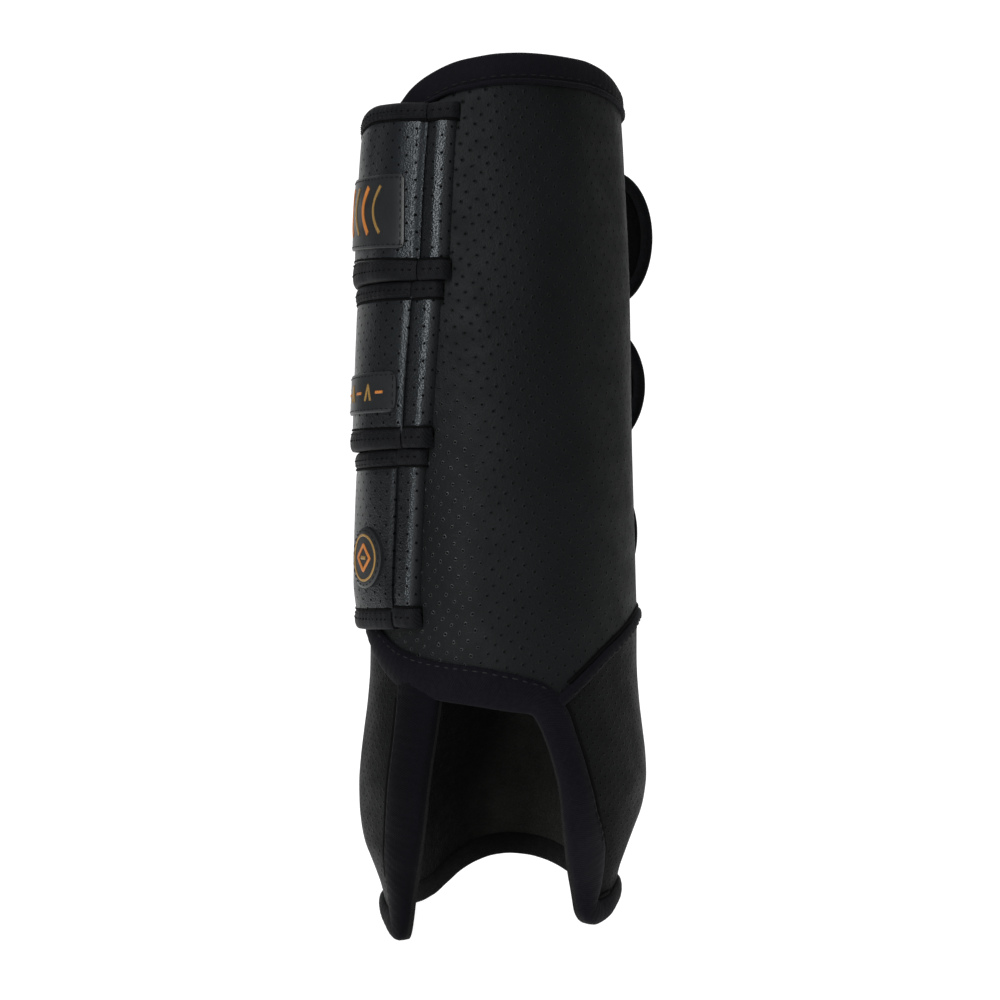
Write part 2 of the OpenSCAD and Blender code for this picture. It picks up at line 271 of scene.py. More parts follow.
# ---------------------------------------------------------------- materials
class Nodes:
    def __init__(self, name):
        self.mat = bpy.data.materials.new(name)
        self.mat.use_nodes = True
        self.t = self.mat.node_tree
        self.t.nodes.clear()
        self.out = self.t.nodes.new("ShaderNodeOutputMaterial")
        self.b = self.t.nodes.new("ShaderNodeBsdfPrincipled")
        self.link(self.b.outputs[0], self.out.inputs[0])
        self.uv = self.t.nodes.new("ShaderNodeUVMap")
        self.uv.uv_map = "cloth"

    def link(self, a, b):
        self.t.links.new(a, b)

    def put(self, sock, value):
        if isinstance(value, bpy.types.NodeSocket):
            self.link(value, sock)
        else:
            sock.default_value = value

    def math(self, op, a, b=None, c=None, clamp=False):
        n = self.t.nodes.new("ShaderNodeMath")
        n.operation = op
        n.use_clamp = clamp
        for k, v in enumerate((a, b, c)):
            if v is not None:
                self.put(n.inputs[k], v)
        return n.outputs[0]

    def vec(self, op, a, b=None):
        n = self.t.nodes.new("ShaderNodeVectorMath")
        n.operation = op
        self.put(n.inputs[0], a)
        if b is not None:
            self.put(n.inputs[1], b)
        return n.outputs["Value"] if op in ("LENGTH", "DISTANCE", "DOT_PRODUCT") else n.outputs[0]

    def noise(self, vec, scale, detail=3.0, rough=0.55):
        n = self.t.nodes.new("ShaderNodeTexNoise")
        self.put(n.inputs["Vector"], vec)
        n.inputs["Scale"].default_value = scale
        n.inputs["Detail"].default_value = detail
        n.inputs["Roughness"].default_value = rough
        return n.outputs["Fac"] if "Fac" in n.outputs else n.outputs[0]

    def voronoi(self, vec, scale, feature="F1"):
        n = self.t.nodes.new("ShaderNodeTexVoronoi")
        n.feature = feature
        self.put(n.inputs["Vector"], vec)
        n.inputs["Scale"].default_value = scale
        return n.outputs["Distance"]

    def mapr(self, v, a, b, c, d):
        n = self.t.nodes.new("ShaderNodeMapRange")
        n.interpolation_type = "SMOOTHSTEP"
        self.put(n.inputs[0], v)
        for k, x in enumerate((a, b, c, d)):
            n.inputs[k + 1].default_value = x
        return n.outputs[0]

    def mix(self, fac, a, b):
        n = self.t.nodes.new("ShaderNodeMix")
        n.data_type = "RGBA"
        self.put(n.inputs[0], fac)
        self.put(n.inputs[6], a)
        self.put(n.inputs[7], b)
        return n.outputs[2]

    def bump(self, height, strength, dist, normal=None):
        n = self.t.nodes.new("ShaderNodeBump")
        n.inputs["Strength"].default_value = strength
        n.inputs["Distance"].default_value = dist
        self.put(n.inputs["Height"], height)
        if normal is not None:
            self.link(normal, n.inputs["Normal"])
        return n.outputs[0]


def rgba(r, g, b):
    return (r, g, b, 1.0)


def leather(name, dark, light, rough, holes=True, coat=0.0, grain=1.0, spec=0.3, pebble=1500.0, swell=0.25, tint=(1.0, 1.0, 1.0), vary=0.075, pores=0.6, dull=0.0, turn=0.0, uneven=0.25, cell=(6.0, 5.6), hole=0.42, lip=0.5, painted_edge_shade=None, low=None, gloss=0.0):
    m = Nodes(name)
    uv = m.uv.outputs[0]
    fine = m.voronoi(uv, pebble)
    pore = m.noise(uv, 900.0, 4.0, 0.6)
    broad = m.noise(uv, 28.0, 3.0)
    height = m.math("MULTIPLY_ADD", fine, 0.5, m.math("MULTIPLY", pore, pores))
    nrm = m.bump(height, 0.55 * grain, 0.0003)
    nrm = m.bump(broad, swell, 0.0012, nrm)
    col = m.mix(m.mapr(broad, 0.3, 0.75, 0.0, 1.0), rgba(*dark), rgba(*light))
    rgh = m.mapr(m.noise(uv, 120.0, 3.0), 0.25, 0.8, rough - vary, rough + vary)
    if holes:
        per = (1000.0 / cell[0], 1000.0 / cell[1], 0.0)
        c_, s_ = math.cos(math.radians(turn)), math.sin(math.radians(turn))
        sp = m.t.nodes.new("ShaderNodeSeparateXYZ")
        m.link(uv, sp.inputs[0])
        cb = m.t.nodes.new("ShaderNodeCombineXYZ")
        m.link(m.math("MULTIPLY_ADD", sp.outputs[0], c_, m.math("MULTIPLY", sp.outputs[1], -s_)), cb.inputs[0])
        m.link(m.math("MULTIPLY_ADD", sp.outputs[0], s_, m.math("MULTIPLY", sp.outputs[1], c_)), cb.inputs[1])
        wn = m.t.nodes.new("ShaderNodeTexNoise")
        m.link(uv, wn.inputs["Vector"])
        wn.inputs["Scale"].default_value = 140.0
        off_ = m.vec("MULTIPLY", m.vec("SUBTRACT", wn.outputs["Color"], (0.5, 0.5, 0.5)), (0.004 * uneven, 0.004 * uneven, 0.0))
        at = m.vec("ADD", cb.outputs[0], off_)
        dist = None
        for shift in ((0.0, 0.0, 0.0), (0.5, 0.5, 0.0)):
            p = m.vec("ADD", m.vec("MULTIPLY", at, per), shift)
            p = m.vec("SUBTRACT", m.vec("FRACTION", p), (0.5, 0.5, 0.0))
            p = m.vec("MULTIPLY", p, (cell[0], cell[1], 0.0))
            d = m.vec("LENGTH", p)
            dist = d if dist is None else m.math("MINIMUM", dist, d)
        pit = m.mapr(dist, hole * 0.8, hole * 1.25, 1.0, 0.0)
        rim = m.math("MULTIPLY_ADD", m.mapr(dist, hole * 1.5, hole * 2.7, 0.0, 1.0), -0.55, m.mapr(dist, hole * 0.9, hole * 1.5, 0.0, 1.0))
        nrm = m.bump(rim, lip, 0.0005, nrm)
        # partly painted shade: the holes are painted near black, darker than the liner behind them, for the shade
        # inside each hole
        col = m.mix(pit, col, rgba(0.0009, 0.0009, 0.0010))
        rgh = m.math("MAXIMUM", rgh, m.math("MULTIPLY", pit, 0.95))
        if gloss:
            # the punched rims are smooth and shiny, and this is kept to a patch low beside the straps, where the
            # lamp's reflection falls: painted glint
            su = m.t.nodes.new("ShaderNodeSeparateXYZ")
            m.link(uv, su.inputs[0])
            ring = m.math("MULTIPLY", m.mapr(dist, hole * 0.95, hole * 1.25, 0.0, 1.0), m.mapr(dist, hole * 1.6, hole * 2.2, 1.0, 0.0))
            ring = m.math("MULTIPLY", ring, m.math("MULTIPLY", m.mapr(su.outputs[0], 0.002, 0.012, 0.0, 1.0), m.mapr(su.outputs[1], 0.150, 0.205, 1.0, 0.0)))
            rgh = m.math("MULTIPLY_ADD", ring, 0.34 - rough, rgh)
    # painted shade: the rolled strip is painted darker and made matt towards its outer edge, where it turns away from
    # the lamps
    if painted_edge_shade:
        side = m.t.nodes.new("ShaderNodeUVMap")
        side.uv_map = "edge"
        sx = m.t.nodes.new("ShaderNodeSeparateXYZ")
        m.link(side.outputs[0], sx.inputs[0])
        k = m.mapr(sx.outputs[0], painted_edge_shade[0], painted_edge_shade[1], 1.0, 0.0)
        col = m.mix(k, col, rgba(0.0016, 0.0017, 0.0019))
        rgh = m.math("MAXIMUM", rgh, m.math("MULTIPLY", k, 0.9))
    m.put(m.b.inputs["Base Color"], col)
    m.put(m.b.inputs["Roughness"], rgh)
    m.put(m.b.inputs["Normal"], nrm)
    m.b.inputs["Specular IOR Level"].default_value = spec
    if holes and dull:
        shine = m.math("MULTIPLY_ADD", pit, -spec * dull, spec)
        # painted glint: the rims' reflection is raised in the same patch
        if gloss:
            shine = m.math("MULTIPLY_ADD", ring, gloss, shine)
        # painted shade: the reflection is dimmed towards the bottom of the surface, on the cup only away from its
        # closing side
        if low:
            sz = m.t.nodes.new("ShaderNodeSeparateXYZ")
            m.link(uv, sz.inputs[0])
            k = m.mapr(sz.outputs[1], low[0], low[1], low[2], 1.0)
            if len(low) > 3:
                k = m.math("MAXIMUM", k, m.mapr(sz.outputs[0], low[3], low[4], 1.0, 0.0))
            shine = m.math("MULTIPLY", shine, k)
        m.put(m.b.inputs["Specular IOR Level"], shine)
    m.b.inputs["Specular Tint"].default_value = rgba(*tint)
    m.b.inputs["Coat Weight"].default_value = coat
    m.b.inputs["Coat Roughness"].default_value = 0.35
    return m.mat


def webbing(name, dark, light, rough=0.72, pitch=0.00075, spec=0.10):
    """Woven binding tape: fine ribs across, with a twill lean."""
    m = Nodes(name)
    uv = m.uv.outputs[0]
    sep = m.t.nodes.new("ShaderNodeSeparateXYZ")
    m.link(uv, sep.inputs[0])
    k = 2 * math.pi / pitch
    a = m.math("SINE", m.math("MULTIPLY_ADD", sep.outputs[0], k, m.math("MULTIPLY", sep.outputs[1], k * 0.45)))
    b = m.math("SINE", m.math("MULTIPLY", sep.outputs[1], k * 1.25))
    weave = m.math("MULTIPLY_ADD", m.math("MULTIPLY", a, b), 0.35, m.math("MULTIPLY", a, 0.3))
    fuzz = m.noise(uv, 2200.0, 2.0)
    broad = m.noise(uv, 60.0, 3.0)
    nrm = m.bump(m.math("ADD", weave, m.math("MULTIPLY", fuzz, 0.5)), 0.5, 0.00022)
    nrm = m.bump(broad, 0.35, 0.0009, nrm)
    lint = m.noise(uv, 750.0, 4.0, 0.65)
    tone = m.math("ADD", m.math("MULTIPLY", weave, 0.35), m.math("MULTIPLY_ADD", lint, 0.8, m.math("MULTIPLY", broad, 0.5)))
    col = m.mix(m.mapr(tone, 0.3, 1.05, 0.0, 1.0), rgba(*dark), rgba(*light))
    m.put(m.b.inputs["Base Color"], col)
    m.b.inputs["Roughness"].default_value = rough
    m.put(m.b.inputs["Normal"], nrm)
    m.b.inputs["Sheen Weight"].default_value = 0.02
    m.b.inputs["Sheen Roughness"].default_value = 0.45
    m.b.inputs["Specular IOR Level"].default_value = spec
    m.b.inputs["Specular Tint"].default_value = rgba(0.92, 0.91, 1.0)
    return m.mat


def pile(name, dark, light, scale=1.0, sheen=0.35, shade_line=None):
    m = Nodes(name)
    uv = m.uv.outputs[0]
    a = m.noise(uv, 1300.0 * scale, 5.0, 0.7)
    b = m.noise(uv, 160.0 * scale, 4.0, 0.6)
    c = m.noise(uv, 24.0, 2.0)
    nrm = m.bump(a, 0.9, 0.0007)
    nrm = m.bump(b, 0.6, 0.0014, nrm)
    col = m.mix(m.mapr(m.math("MULTIPLY_ADD", a, 0.6, m.math("MULTIPLY", m.math("ADD", b, c), 0.25)), 0.3, 0.75, 0.0, 1.0), rgba(*dark), rgba(*light))
    if shade_line:
        # painted shade: past a slanting line the pile is painted darker, for the shadow inside the cup behind the
        # closing prong
        sp = m.t.nodes.new("ShaderNodeSeparateXYZ")
        m.link(uv, sp.inputs[0])
        at = m.math("ADD", m.math("MULTIPLY_ADD", sp.outputs[1], shade_line[2], sp.outputs[0]), m.math("MULTIPLY_ADD", b, 0.006, m.math("MULTIPLY", c, 0.014)))
        col = m.mix(m.mapr(at, shade_line[0], shade_line[1], 1.0, 0.0), col, rgba(*[0.12 * v_ + 0.04 * w_ for v_, w_ in zip(dark, light)]))
    m.put(m.b.inputs["Base Color"], col)
    m.b.inputs["Roughness"].default_value = 0.95
    m.put(m.b.inputs["Normal"], nrm)
    m.b.inputs["Sheen Weight"].default_value = sheen
    m.b.inputs["Specular IOR Level"].default_value = 0.15
    return m.mat


def plain(name, col, rough, metallic=0.0, scale=700.0, amount=0.3, spec=0.5):
    m = Nodes(name)
    uv = m.uv.outputs[0]
    n = m.noise(uv, scale, 3.0)
    m.put(m.b.inputs["Base Color"], m.mix(m.mapr(m.noise(uv, 90.0, 3.0), 0.3, 0.7, 0.0, 1.0), rgba(*[c * 0.82 for c in col]), rgba(*col)))
    m.b.inputs["Roughness"].default_value = rough
    m.b.inputs["Metallic"].default_value = metallic
    m.b.inputs["Specular IOR Level"].default_value = spec
    m.put(m.b.inputs["Normal"], m.bump(n, amount, 0.0002))
    return m.mat


M_SHELL = leather("shell_leather", (0.0022, 0.0024, 0.0027), (0.0039, 0.0043, 0.0047), 0.62, spec=0.17, tint=(0.93, 0.98, 1.0), cell=(5.5, 5.3), hole=0.32, turn=9.0, uneven=0.5, lip=0.5, dull=0.45, gloss=0.34)
M_CUP = leather("cup_leather", (0.0017, 0.0018, 0.0018), (0.0030, 0.0031, 0.0031), 0.60, spec=0.11, tint=(0.95, 1.0, 1.0), cell=(4.1, 3.8), hole=0.30, lip=0.42, dull=0.6, low=(0.024, 0.062, 0.15, -0.17, -0.13))
STRAP_LOOK = dict(spec=0.56, grain=1.55, pebble=1900.0, swell=0.03, vary=0.03, pores=0.05, tint=(0.88, 0.95, 1.0), hole=0.44, lip=0.12, dull=0.85)
# painted light and shade: the upper strap's leather is a lighter copy and the lower strap's a darker copy of the same
# strap leather
M_STRAP = leather("strap_leather", (0.0054, 0.0064, 0.0074), (0.0075, 0.0088, 0.0100), 0.35, **STRAP_LOOK)
M_STRAP_LOW_SHADED = leather("lower_strap_leather_painted_shade", (0.0040, 0.0048, 0.0057), (0.0056, 0.0067, 0.0078), 0.35, low=(0.108, 0.140, 0.30), **STRAP_LOOK)
M_STRAP_UP_LIT = leather("upper_strap_leather_painted_light", (0.0070, 0.0083, 0.0098), (0.0098, 0.0114, 0.0132), 0.38, **STRAP_LOOK)
M_BASE = leather("strip_leather", (0.0054, 0.0064, 0.0074), (0.0075, 0.0088, 0.0100), 0.32, painted_edge_shade=(0.0012, 0.0058), **STRAP_LOOK)
# painted shade: a darker copy of the strip leather for the lowest strap's sewn strip
M_BASE_LOW_SHADED = leather("lower_strip_leather_painted_shade", (0.0044, 0.0053, 0.0062), (0.0062, 0.0073, 0.0084), 0.32, painted_edge_shade=(0.0012, 0.0058), **dict(STRAP_LOOK, spec=0.46))
M_PLAIN = leather("plain_leather", (0.0085, 0.0085, 0.0088), (0.0130, 0.0130, 0.0136), 0.50, holes=False)
M_BIND = webbing("binding_tape", (0.0014, 0.0014, 0.0026), (0.0041, 0.0041, 0.0068))
M_BIND_IN = pile("binding_inside", (0.0016, 0.0016, 0.0019), (0.0062, 0.0061, 0.0064), 1.2, 0.02)
M_BIND_OPEN = webbing("opening_tape", (0.0020, 0.0020, 0.0034), (0.0058, 0.0058, 0.0090), spec=0.06)
# painted shade: a darker copy of the binding tape for the hem and prongs low on the boot
M_BIND_LOW_SHADED = webbing("hem_tape_painted_shade", (0.0010, 0.0010, 0.0018), (0.0030, 0.0030, 0.0048), spec=0.05)
M_TIP = webbing("strap_tip_tape", (0.0045, 0.0048, 0.0056), (0.0150, 0.0158, 0.0176), 0.6)
# painted shadow: near-black strips beside bindings and seams; the same material also colours the dark stitch dots in
# the strap bindings
M_SHADOW_STRIP_AND_STITCH = plain("shadow_strip_and_dark_stitch", (0.0009, 0.0009, 0.0012), 0.8, scale=2500.0, spec=0.08)
M_SBIND = webbing("strap_binding_tape", (0.0024, 0.0026, 0.0034), (0.0096, 0.0104, 0.0122), 0.58)
M_LINER = pile("liner_pile", (0.0030, 0.0030, 0.0028), (0.0110, 0.0108, 0.0098), sheen=0.12)
# painted light and shade: a lighter copy of the liner pile for the lit inner wall, painted darker past a slanting line
M_CUP_LINER_LIT_AND_SHADED = pile("cup_liner_pile_lit_and_shaded", (0.0054, 0.0054, 0.0049), (0.0236, 0.0231, 0.0214), sheen=0.06, shade_line=(-0.160, -0.138, -0.27))
M_LOOP = pile("loop_fabric", (0.0020, 0.0020, 0.0022), (0.0060, 0.0060, 0.0064), 1.6, 0.03)
M_HOOK = pile("hook_tape", (0.0018, 0.0018, 0.0019), (0.0050, 0.0050, 0.0052), 2.2, 0.02)
M_THREAD = plain("thread", (0.0062, 0.0062, 0.0074), 0.55, scale=3000.0, spec=0.25)
M_THREAD_DARK = plain("dark_thread", (0.006, 0.006, 0.007), 0.6, scale=3000.0, spec=0.15)
M_RUBBER = plain("badge_rubber", (0.0165, 0.0180, 0.0195), 0.40, scale=1500.0, spec=0.45)
M_GOLD = plain("badge_gold", (0.42, 0.25, 0.075), 0.38, 0.35, scale=1800.0)
M_ORANGE = plain("badge_orange", (0.55, 0.19, 0.035), 0.45, scale=1800.0)
M_GUARD = plain("guard_sheet", (0.02, 0.02, 0.02), 0.5)

# ---------------------------------------------------------------- edges of the boot
# top rim: angle to height
RIM = Curve([(-270, 262.5), (-265, 262), (-240, 266), (-210, 274), (-180, 280), (-150, 282.5), (-110, 284), (-85, 285.3), (-60, 288.1),
             (-49, 289.4), (-41, 290.1), (-29, 290.2), (-13, 290.3), (0, 289.8), (10, 288.7), (20, 287.2), (26, 285.8), (35, 283),
             (42, 280), (48, 276.5), (60, 270.5), (75, 265.5), (88, 263)])
# lower edge of the front panel over the opening and the closing side
FRONT = Curve([(-26, 76.2), (-20.6, 76.6), (-10, 77.5), (0, 78.6), (12, 79.9), (25, 81.0), (38, 82.6), (50, 85.2), (60, 89.2),
               (68, 93.3), (76, 97.6), (83, 100.6), (88, 102)])
# upper edge of the fetlock cup, going round the inner side to the back and on to the closing side
SEAM = Curve([(-272, 101.2), (-265, 101.6), (-250, 102.5), (-215, 105), (-180, 107), (-110, 108.2), (-85, 107.6), (-66, 103.2), (-48, 96.4),
              (-36, 90), (-26, 84), (-20, 80.5)])
# inner edges of the prongs: height to x
EDGE_R = Curve([(-2, 28.6), (4, 27.7), (14, 26.2), (26, 24.0), (40, 22.2), (52, 20.8), (60, 18.8), (66, 16.8), (72, 14.8), (80, 12.0), (90, 9.0)])
EDGE_L = Curve([(-2, -32.8), (4, -31.9), (14, -30.6), (26, -28.4), (40, -26.4), (54, -24.8), (70, -22.4), (82, -20.8), (90, -20.0)])
# lower edge of the cup: angle to height
HEM = Curve([(-325, 4.4), (-316, 0.6), (-309, -0.4), (-302, -0.5), (-298, -0.5), (-292, -0.3), (-286, 0.3), (-280, 0.9), (-268, 1.2), (-250, 0.8), (-232, 0.4), (-222, 1.6), (-212, 5.2), (-203, 9.0), (-193, 12.0), (-183, 13.9), (-174, 14.5),
             (-165, 14.2), (-155, 13.2), (-145, 11.6), (-136, 9.6), (-127, 7.8), (-117, 6.8), (-104, 6.6), (-90, 6.6), (-75, 5.6), (-62, 4.4), (-54, 3.9), (-48, 4.1), (-43, 5.2), (-35, 8.0)])


def edge_angle(x, z, left):
    r = R_LEFT(z) if left else R_RIGHT(z)
    return -np.degrees(np.arcsin(np.clip(np.asarray(x) / (r * 0.5 + wall_r(-np.degrees(np.arcsin(np.clip(np.asarray(x) / r, -.99, .99))), z) * 0.5), -0.99, 0.99)))


def path_rim(a, b, n=240):
    th = np.linspace(a, b, n)
    return np.stack([th * D2S, RIM(th)], -1)


def corner(p0, d0, p1, d1, n=18, k=6.0):
    t = np.linspace(0, 1, n)[1:-1, None]
    c0, c1 = p0 + d0 * k, p1 - d1 * k
    return (1 - t) ** 3 * p0 + 3 * (1 - t) ** 2 * t * c0 + 3 * (1 - t) * t * t * c1 + t ** 3 * p1


def join(*parts, k=6.0):
    """Paths joined by round corners."""
    out = [parts[0]]
    for p in parts[1:]:
        q = out[-1]
        d0, d1 = q[-1] - q[-2], p[1] - p[0]
        out += [corner(q[-1], d0 / np.linalg.norm(d0), p[0], d1 / np.linalg.norm(d1), k=k), p]
    return np.concatenate(out)


def to_s(p):
    return np.stack([p[:, 0] * D2S, p[:, 1]], -1)


zr = np.linspace(60, 10.5, 90)
edge_r = to_s(np.stack([edge_angle(EDGE_R(zr), zr, False), zr], -1))
zl = np.linspace(9.5, 86.0, 90)
edge_l = to_s(np.stack([edge_angle(EDGE_L(zl), zl, True) - 360, zl], -1))
SPLIT = -66.0
tf = np.linspace(88, -11.5, 220)
ah = np.linspace(-53.0, SPLIT, 30)
OPENING = join(to_s(np.stack([tf, FRONT(tf)], -1)), edge_r, to_s(np.stack([ah, HEM(ah)], -1)), k=4.2)
ah = np.linspace(SPLIT - 0.1, -298.5, 400)
HEMLINE = join(to_s(np.stack([ah, HEM(ah)], -1)), edge_l, k=6.0)

BACK_A, BACK_B = (AX * MM + 0.012, 0.045, 0.15), (AX * MM - 0.012, 0.045, 0.15)


def on_back(ob):
    """Bakes the transform into the mesh; nothing bends at the fold line behind the leg."""
    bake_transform(ob)
    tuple(BACK_A)
    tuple(BACK_B)
    return ob


SHELL_T, LINER_T = 1.6, 6.0
EDGE_T = 3.6                   # the padding is pressed flat under a binding


def near(S_, Z_, path):
    """Distance of grid points from a path along the wall."""
    p_, _ = resample(path, 2.0)
    d_ = np.full(S_.shape, 1e9)
    for q_ in p_:
        d_ = np.minimum(d_, np.hypot(S_ - q_[0], Z_ - q_[1]))
    return d_


def padding(S_, Z_, *paths):
    """How deep the liner is: soft lumps, pressed thin at its edges."""
    lump = 0.35 * np.sin(S_ * 0.21) * np.sin(Z_ * 0.17 + 0.6) + 0.05 * np.sin(S_ * 0.47 + Z_ * 0.33)
    d_ = np.min([near(S_, Z_, p_) for p_ in paths], axis=0)
    k_ = sstep(7.5, 26, d_)
    return -(EDGE_T + (LINER_T - lump - EDGE_T) * k_)


# ---------------------------------------------------------------- cannon wrap
# lower edge of the front panel: the opening, then the cup seam on the inner side
def lower_edge(th):
    return np.where(th < -24.0, SEAM(np.minimum(th, -20)) - 1.0, np.maximum(FRONT(np.maximum(th, -26)) + 1.0, 0))


JOIN = -112.0
th = np.linspace(JOIN, 87.4, 230)
v = np.linspace(0, 1, 130)
lo, hi = lower_edge(th), RIM(th) - 1.0
S = np.repeat((th * D2S)[:, None], len(v), 1)
Z = lo[:, None] + (hi - lo)[:, None] * v[None]
front_panel = slab("front_panel", S, Z, 0.0, -SHELL_T, M_SHELL)
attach(front_panel, "shell")
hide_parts("outer_shell")

S2, Z2 = S[::2, ::2], Z[::2, ::2]
front_liner = slab("front_liner", S2, Z2, -3.0, padding(S2, Z2, OPENING, path_rim(JOIN, 88)), M_LINER)
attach(front_liner, "shell")
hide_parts("shell_liner")

thb = np.linspace(JOIN - 0.25, -271.0, 200)
lob, hib = SEAM(thb) + 0.6, RIM(thb) - 1.0
Sb = np.repeat((thb * D2S)[:, None], len(v), 1)
Zb = lob[:, None] + (hib - lob)[:, None] * v[None]
back_panel = slab("back_panel", Sb, Zb, 0.0, -SHELL_T, M_SHELL)
on_back(back_panel)
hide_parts("flap_shell")
S2, Z2 = Sb[::2, ::2], Zb[::2, ::2]
back_liner = slab("back_liner", S2, Z2, -3.0, padding(S2, Z2, path_rim(-271, JOIN)), M_LINER)
on_back(back_liner)
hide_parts("flap_liner")

# stiff sheets between shell and liner
for nm, t0, t1, z0, z1, on in (("shin_sheet", -48, 16, 108, 262, "shin_guard"), ("tendon_sheet", -160, -114, 122, 262, "tendon_guard")):
    a, b = np.meshgrid(np.linspace(t0, t1, 30) * D2S, np.linspace(z0, z1, 30), indexing="ij")
    o = slab(nm, a, b, -1.75, -2.85, M_GUARD)
    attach(o, "shell")
    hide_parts(on)

# rim
W_RIM = Curve([(-271, 8.0), (-150, 7.4), (-112, 6.2), (-85, 5.8), (-60, 7.2), (-30, 8.5), (10, 8.8), (88, 8.8)])
rim_front = strip("rim_front", path_rim(JOIN, 87.6), W_RIM(np.linspace(JOIN, 87.6, 60)), -1, EDGE_T - 0.45, M_BIND, puff=0.15)
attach(rim_front, "shell")
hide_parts("top_binding")
rim_back = strip("rim_back", path_rim(-270.8, JOIN - 0.2), W_RIM(np.linspace(-270.8, JOIN - 0.2, 60)), -1, EDGE_T - 0.45, M_BIND, puff=0.15)
on_back(rim_back)
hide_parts("flap_top_binding")

# folded cord under the rim
for nm, t0, t1 in (("rim_cord_front", JOIN, 87.6), ("rim_cord_back", -270.8, JOIN - 0.2)):
    q_ = path_rim(t0, t1)
    q_[:, 1] -= W_RIM(q_[:, 0] / D2S) - 0.5
    o = strip(nm, q_, 1.7, -1, 0.6, M_BIND, lift=0.35, puff=0.25, inner=0.3)
    if nm.endswith("front"):
        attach(o, "shell")
    else:
        on_back(o)

# lower edge of the front panel, on down the inner prong
n_all = np.linspace(0, 1, 60)
LEN_A = np.hypot(*np.diff(OPENING, axis=0).T).sum()
W_OPEN = np.interp(n_all * LEN_A, [0, 20, 40, 70, 80, 88, 98, 112, 128, 142, 152, 162, LEN_A], [9.0, 10.0, 11.8, 12.2, 11.6, 10.0, 8.8, 8.8, 10.8, 13.2, 12.0, 8.2, 7.4])
cut_bind = strip("opening_binding", OPENING, W_OPEN, -1, EDGE_T - 0.45, M_BIND_OPEN, lift=0.15, puff=1.1, lining=M_BIND_IN)
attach(cut_bind, "shell")
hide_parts("cutout_binding", "right_prong_binding")

# closing edges under the straps
z = np.linspace(104, 261, 60)
close_bind = strip("closing_edge", np.stack([np.full_like(z, 87.5 * D2S), z], -1), 7.0, 1, EDGE_T - 0.45, M_BIND, puff=0.0, lift=-0.45)
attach(close_bind, "shell")
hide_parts("closure_binding")
flap_bind = strip("flap_edge", np.stack([np.full_like(z, 89.4 * D2S), z], -1), 7.0, -1, EDGE_T - 0.45, M_BIND, puff=0.0, lift=-0.45)
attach(flap_bind, "side_flap")
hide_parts("flap_edge_binding")

# loop fabric on the wall under the strap ends
for nm, t0, t1, z0, z1, body, on in (("loop_side", 102, 172, 110, 258, "side_flap", "side_loop_panel"),
                                     ("loop_back", -172, -140, 112, 262, "shell", "back_loop_panel")):
    a, b = np.meshgrid(np.linspace(t0, t1, 50) * D2S, np.linspace(z0, z1, 60), indexing="ij")
    o = slab(nm, a, b, 0.65, -0.2, M_LOOP)
    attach(o, body)
    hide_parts(on)

# ---------------------------------------------------------------- fetlock cup
def cup_grid(nu, nv, top_drop=0.6, inset=1.0):
    u = np.linspace(0, 1, nu)
    S = np.zeros((nu, nv))
    Z = np.zeros((nu, nv))
    for i, uu in enumerate(u):
        a = np.full(nv, -30 + uu * (-300))
        for _ in range(8):
            left_top = FRONT(np.clip(a + 360, -26, 88)) + 3.2
            top = np.where(a < -271.2, left_top, SEAM(np.maximum(a, -272)))
            top = np.where((a < -271.2) & (a > -276), np.minimum(left_top, 101.0), top) - top_drop
            low = HEM(a) + inset
            zz = low + (top - low) * np.linspace(0, 1, nv)
            ar = edge_angle(EDGE_R(zz) + inset, zz, False)
            al = edge_angle(EDGE_L(zz) - inset, zz, True) - 360
            a = ar + (al - ar) * uu
        S[i], Z[i] = a * D2S, zz
    return S, Z


S, Z = cup_grid(330, 60)
cup = slab("fetlock_cup", S, Z, 0.0, -SHELL_T, M_CUP)
on_back(cup)
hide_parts("right_fetlock_cup", "left_fetlock_cup")
S2, Z2 = S[::2, ::2], Z[::2, ::2]
cup_liner = slab("fetlock_cup_liner", S2, Z2, -SHELL_T - 0.05, padding(S2, Z2, OPENING, HEMLINE), M_CUP_LINER_LIT_AND_SHADED)
on_back(cup_liner)
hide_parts("right_cup_liner", "left_cup_liner")

LEN_B = np.hypot(*np.diff(HEMLINE, axis=0).T).sum()
W_HEM = np.interp(n_all * LEN_B, [0, LEN_B - 104, LEN_B - 92, LEN_B - 82, LEN_B - 60, LEN_B - 25, LEN_B], [7.4, 7.4, 8.0, 10.5, 13.2, 14.6, 16.8])
hem_bind = strip("hem_binding", HEMLINE, W_HEM, -1, EDGE_T - 0.45, M_BIND_LOW_SHADED, puff=1.1, lining=M_BIND_IN)
on_back(hem_bind)
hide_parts("left_prong_binding", "right_hem_binding", "left_hem_binding")

# painted shadow: dark strips laid where the wide bindings and the seam meet the leather
def beside(path, width, side, step=1.1):
    p_, _ = resample(path, step)
    w_ = np.interp(np.linspace(0, 1, len(p_)), np.linspace(0, 1, len(np.atleast_1d(width))), np.atleast_1d(width))
    return p_ + frames(p_, side)[1] * (w_ + 0.1)[:, None]


q_ = beside(OPENING, W_OPEN, -1)
shade_strip_ob = strip("inner_prong_shadow_strip", q_[(q_[:, 0] < -25.5 * D2S) & (q_[:, 1] > 9)], 1.5, -1, 0.4, M_SHADOW_STRIP_AND_STITCH, puff=-0.35, inner=0.3)
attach(shade_strip_ob, "shell")
q_ = beside(HEMLINE, W_HEM, -1)
shade_strip_ob = strip("closing_prong_shadow_strip", q_[(q_[:, 0] < -300 * D2S) & (q_[:, 1] > 14) & (q_[:, 1] < 80)], 1.5, -1, 0.4, M_SHADOW_STRIP_AND_STITCH, puff=-0.35, inner=0.3)
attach(shade_strip_ob, "side_flap")

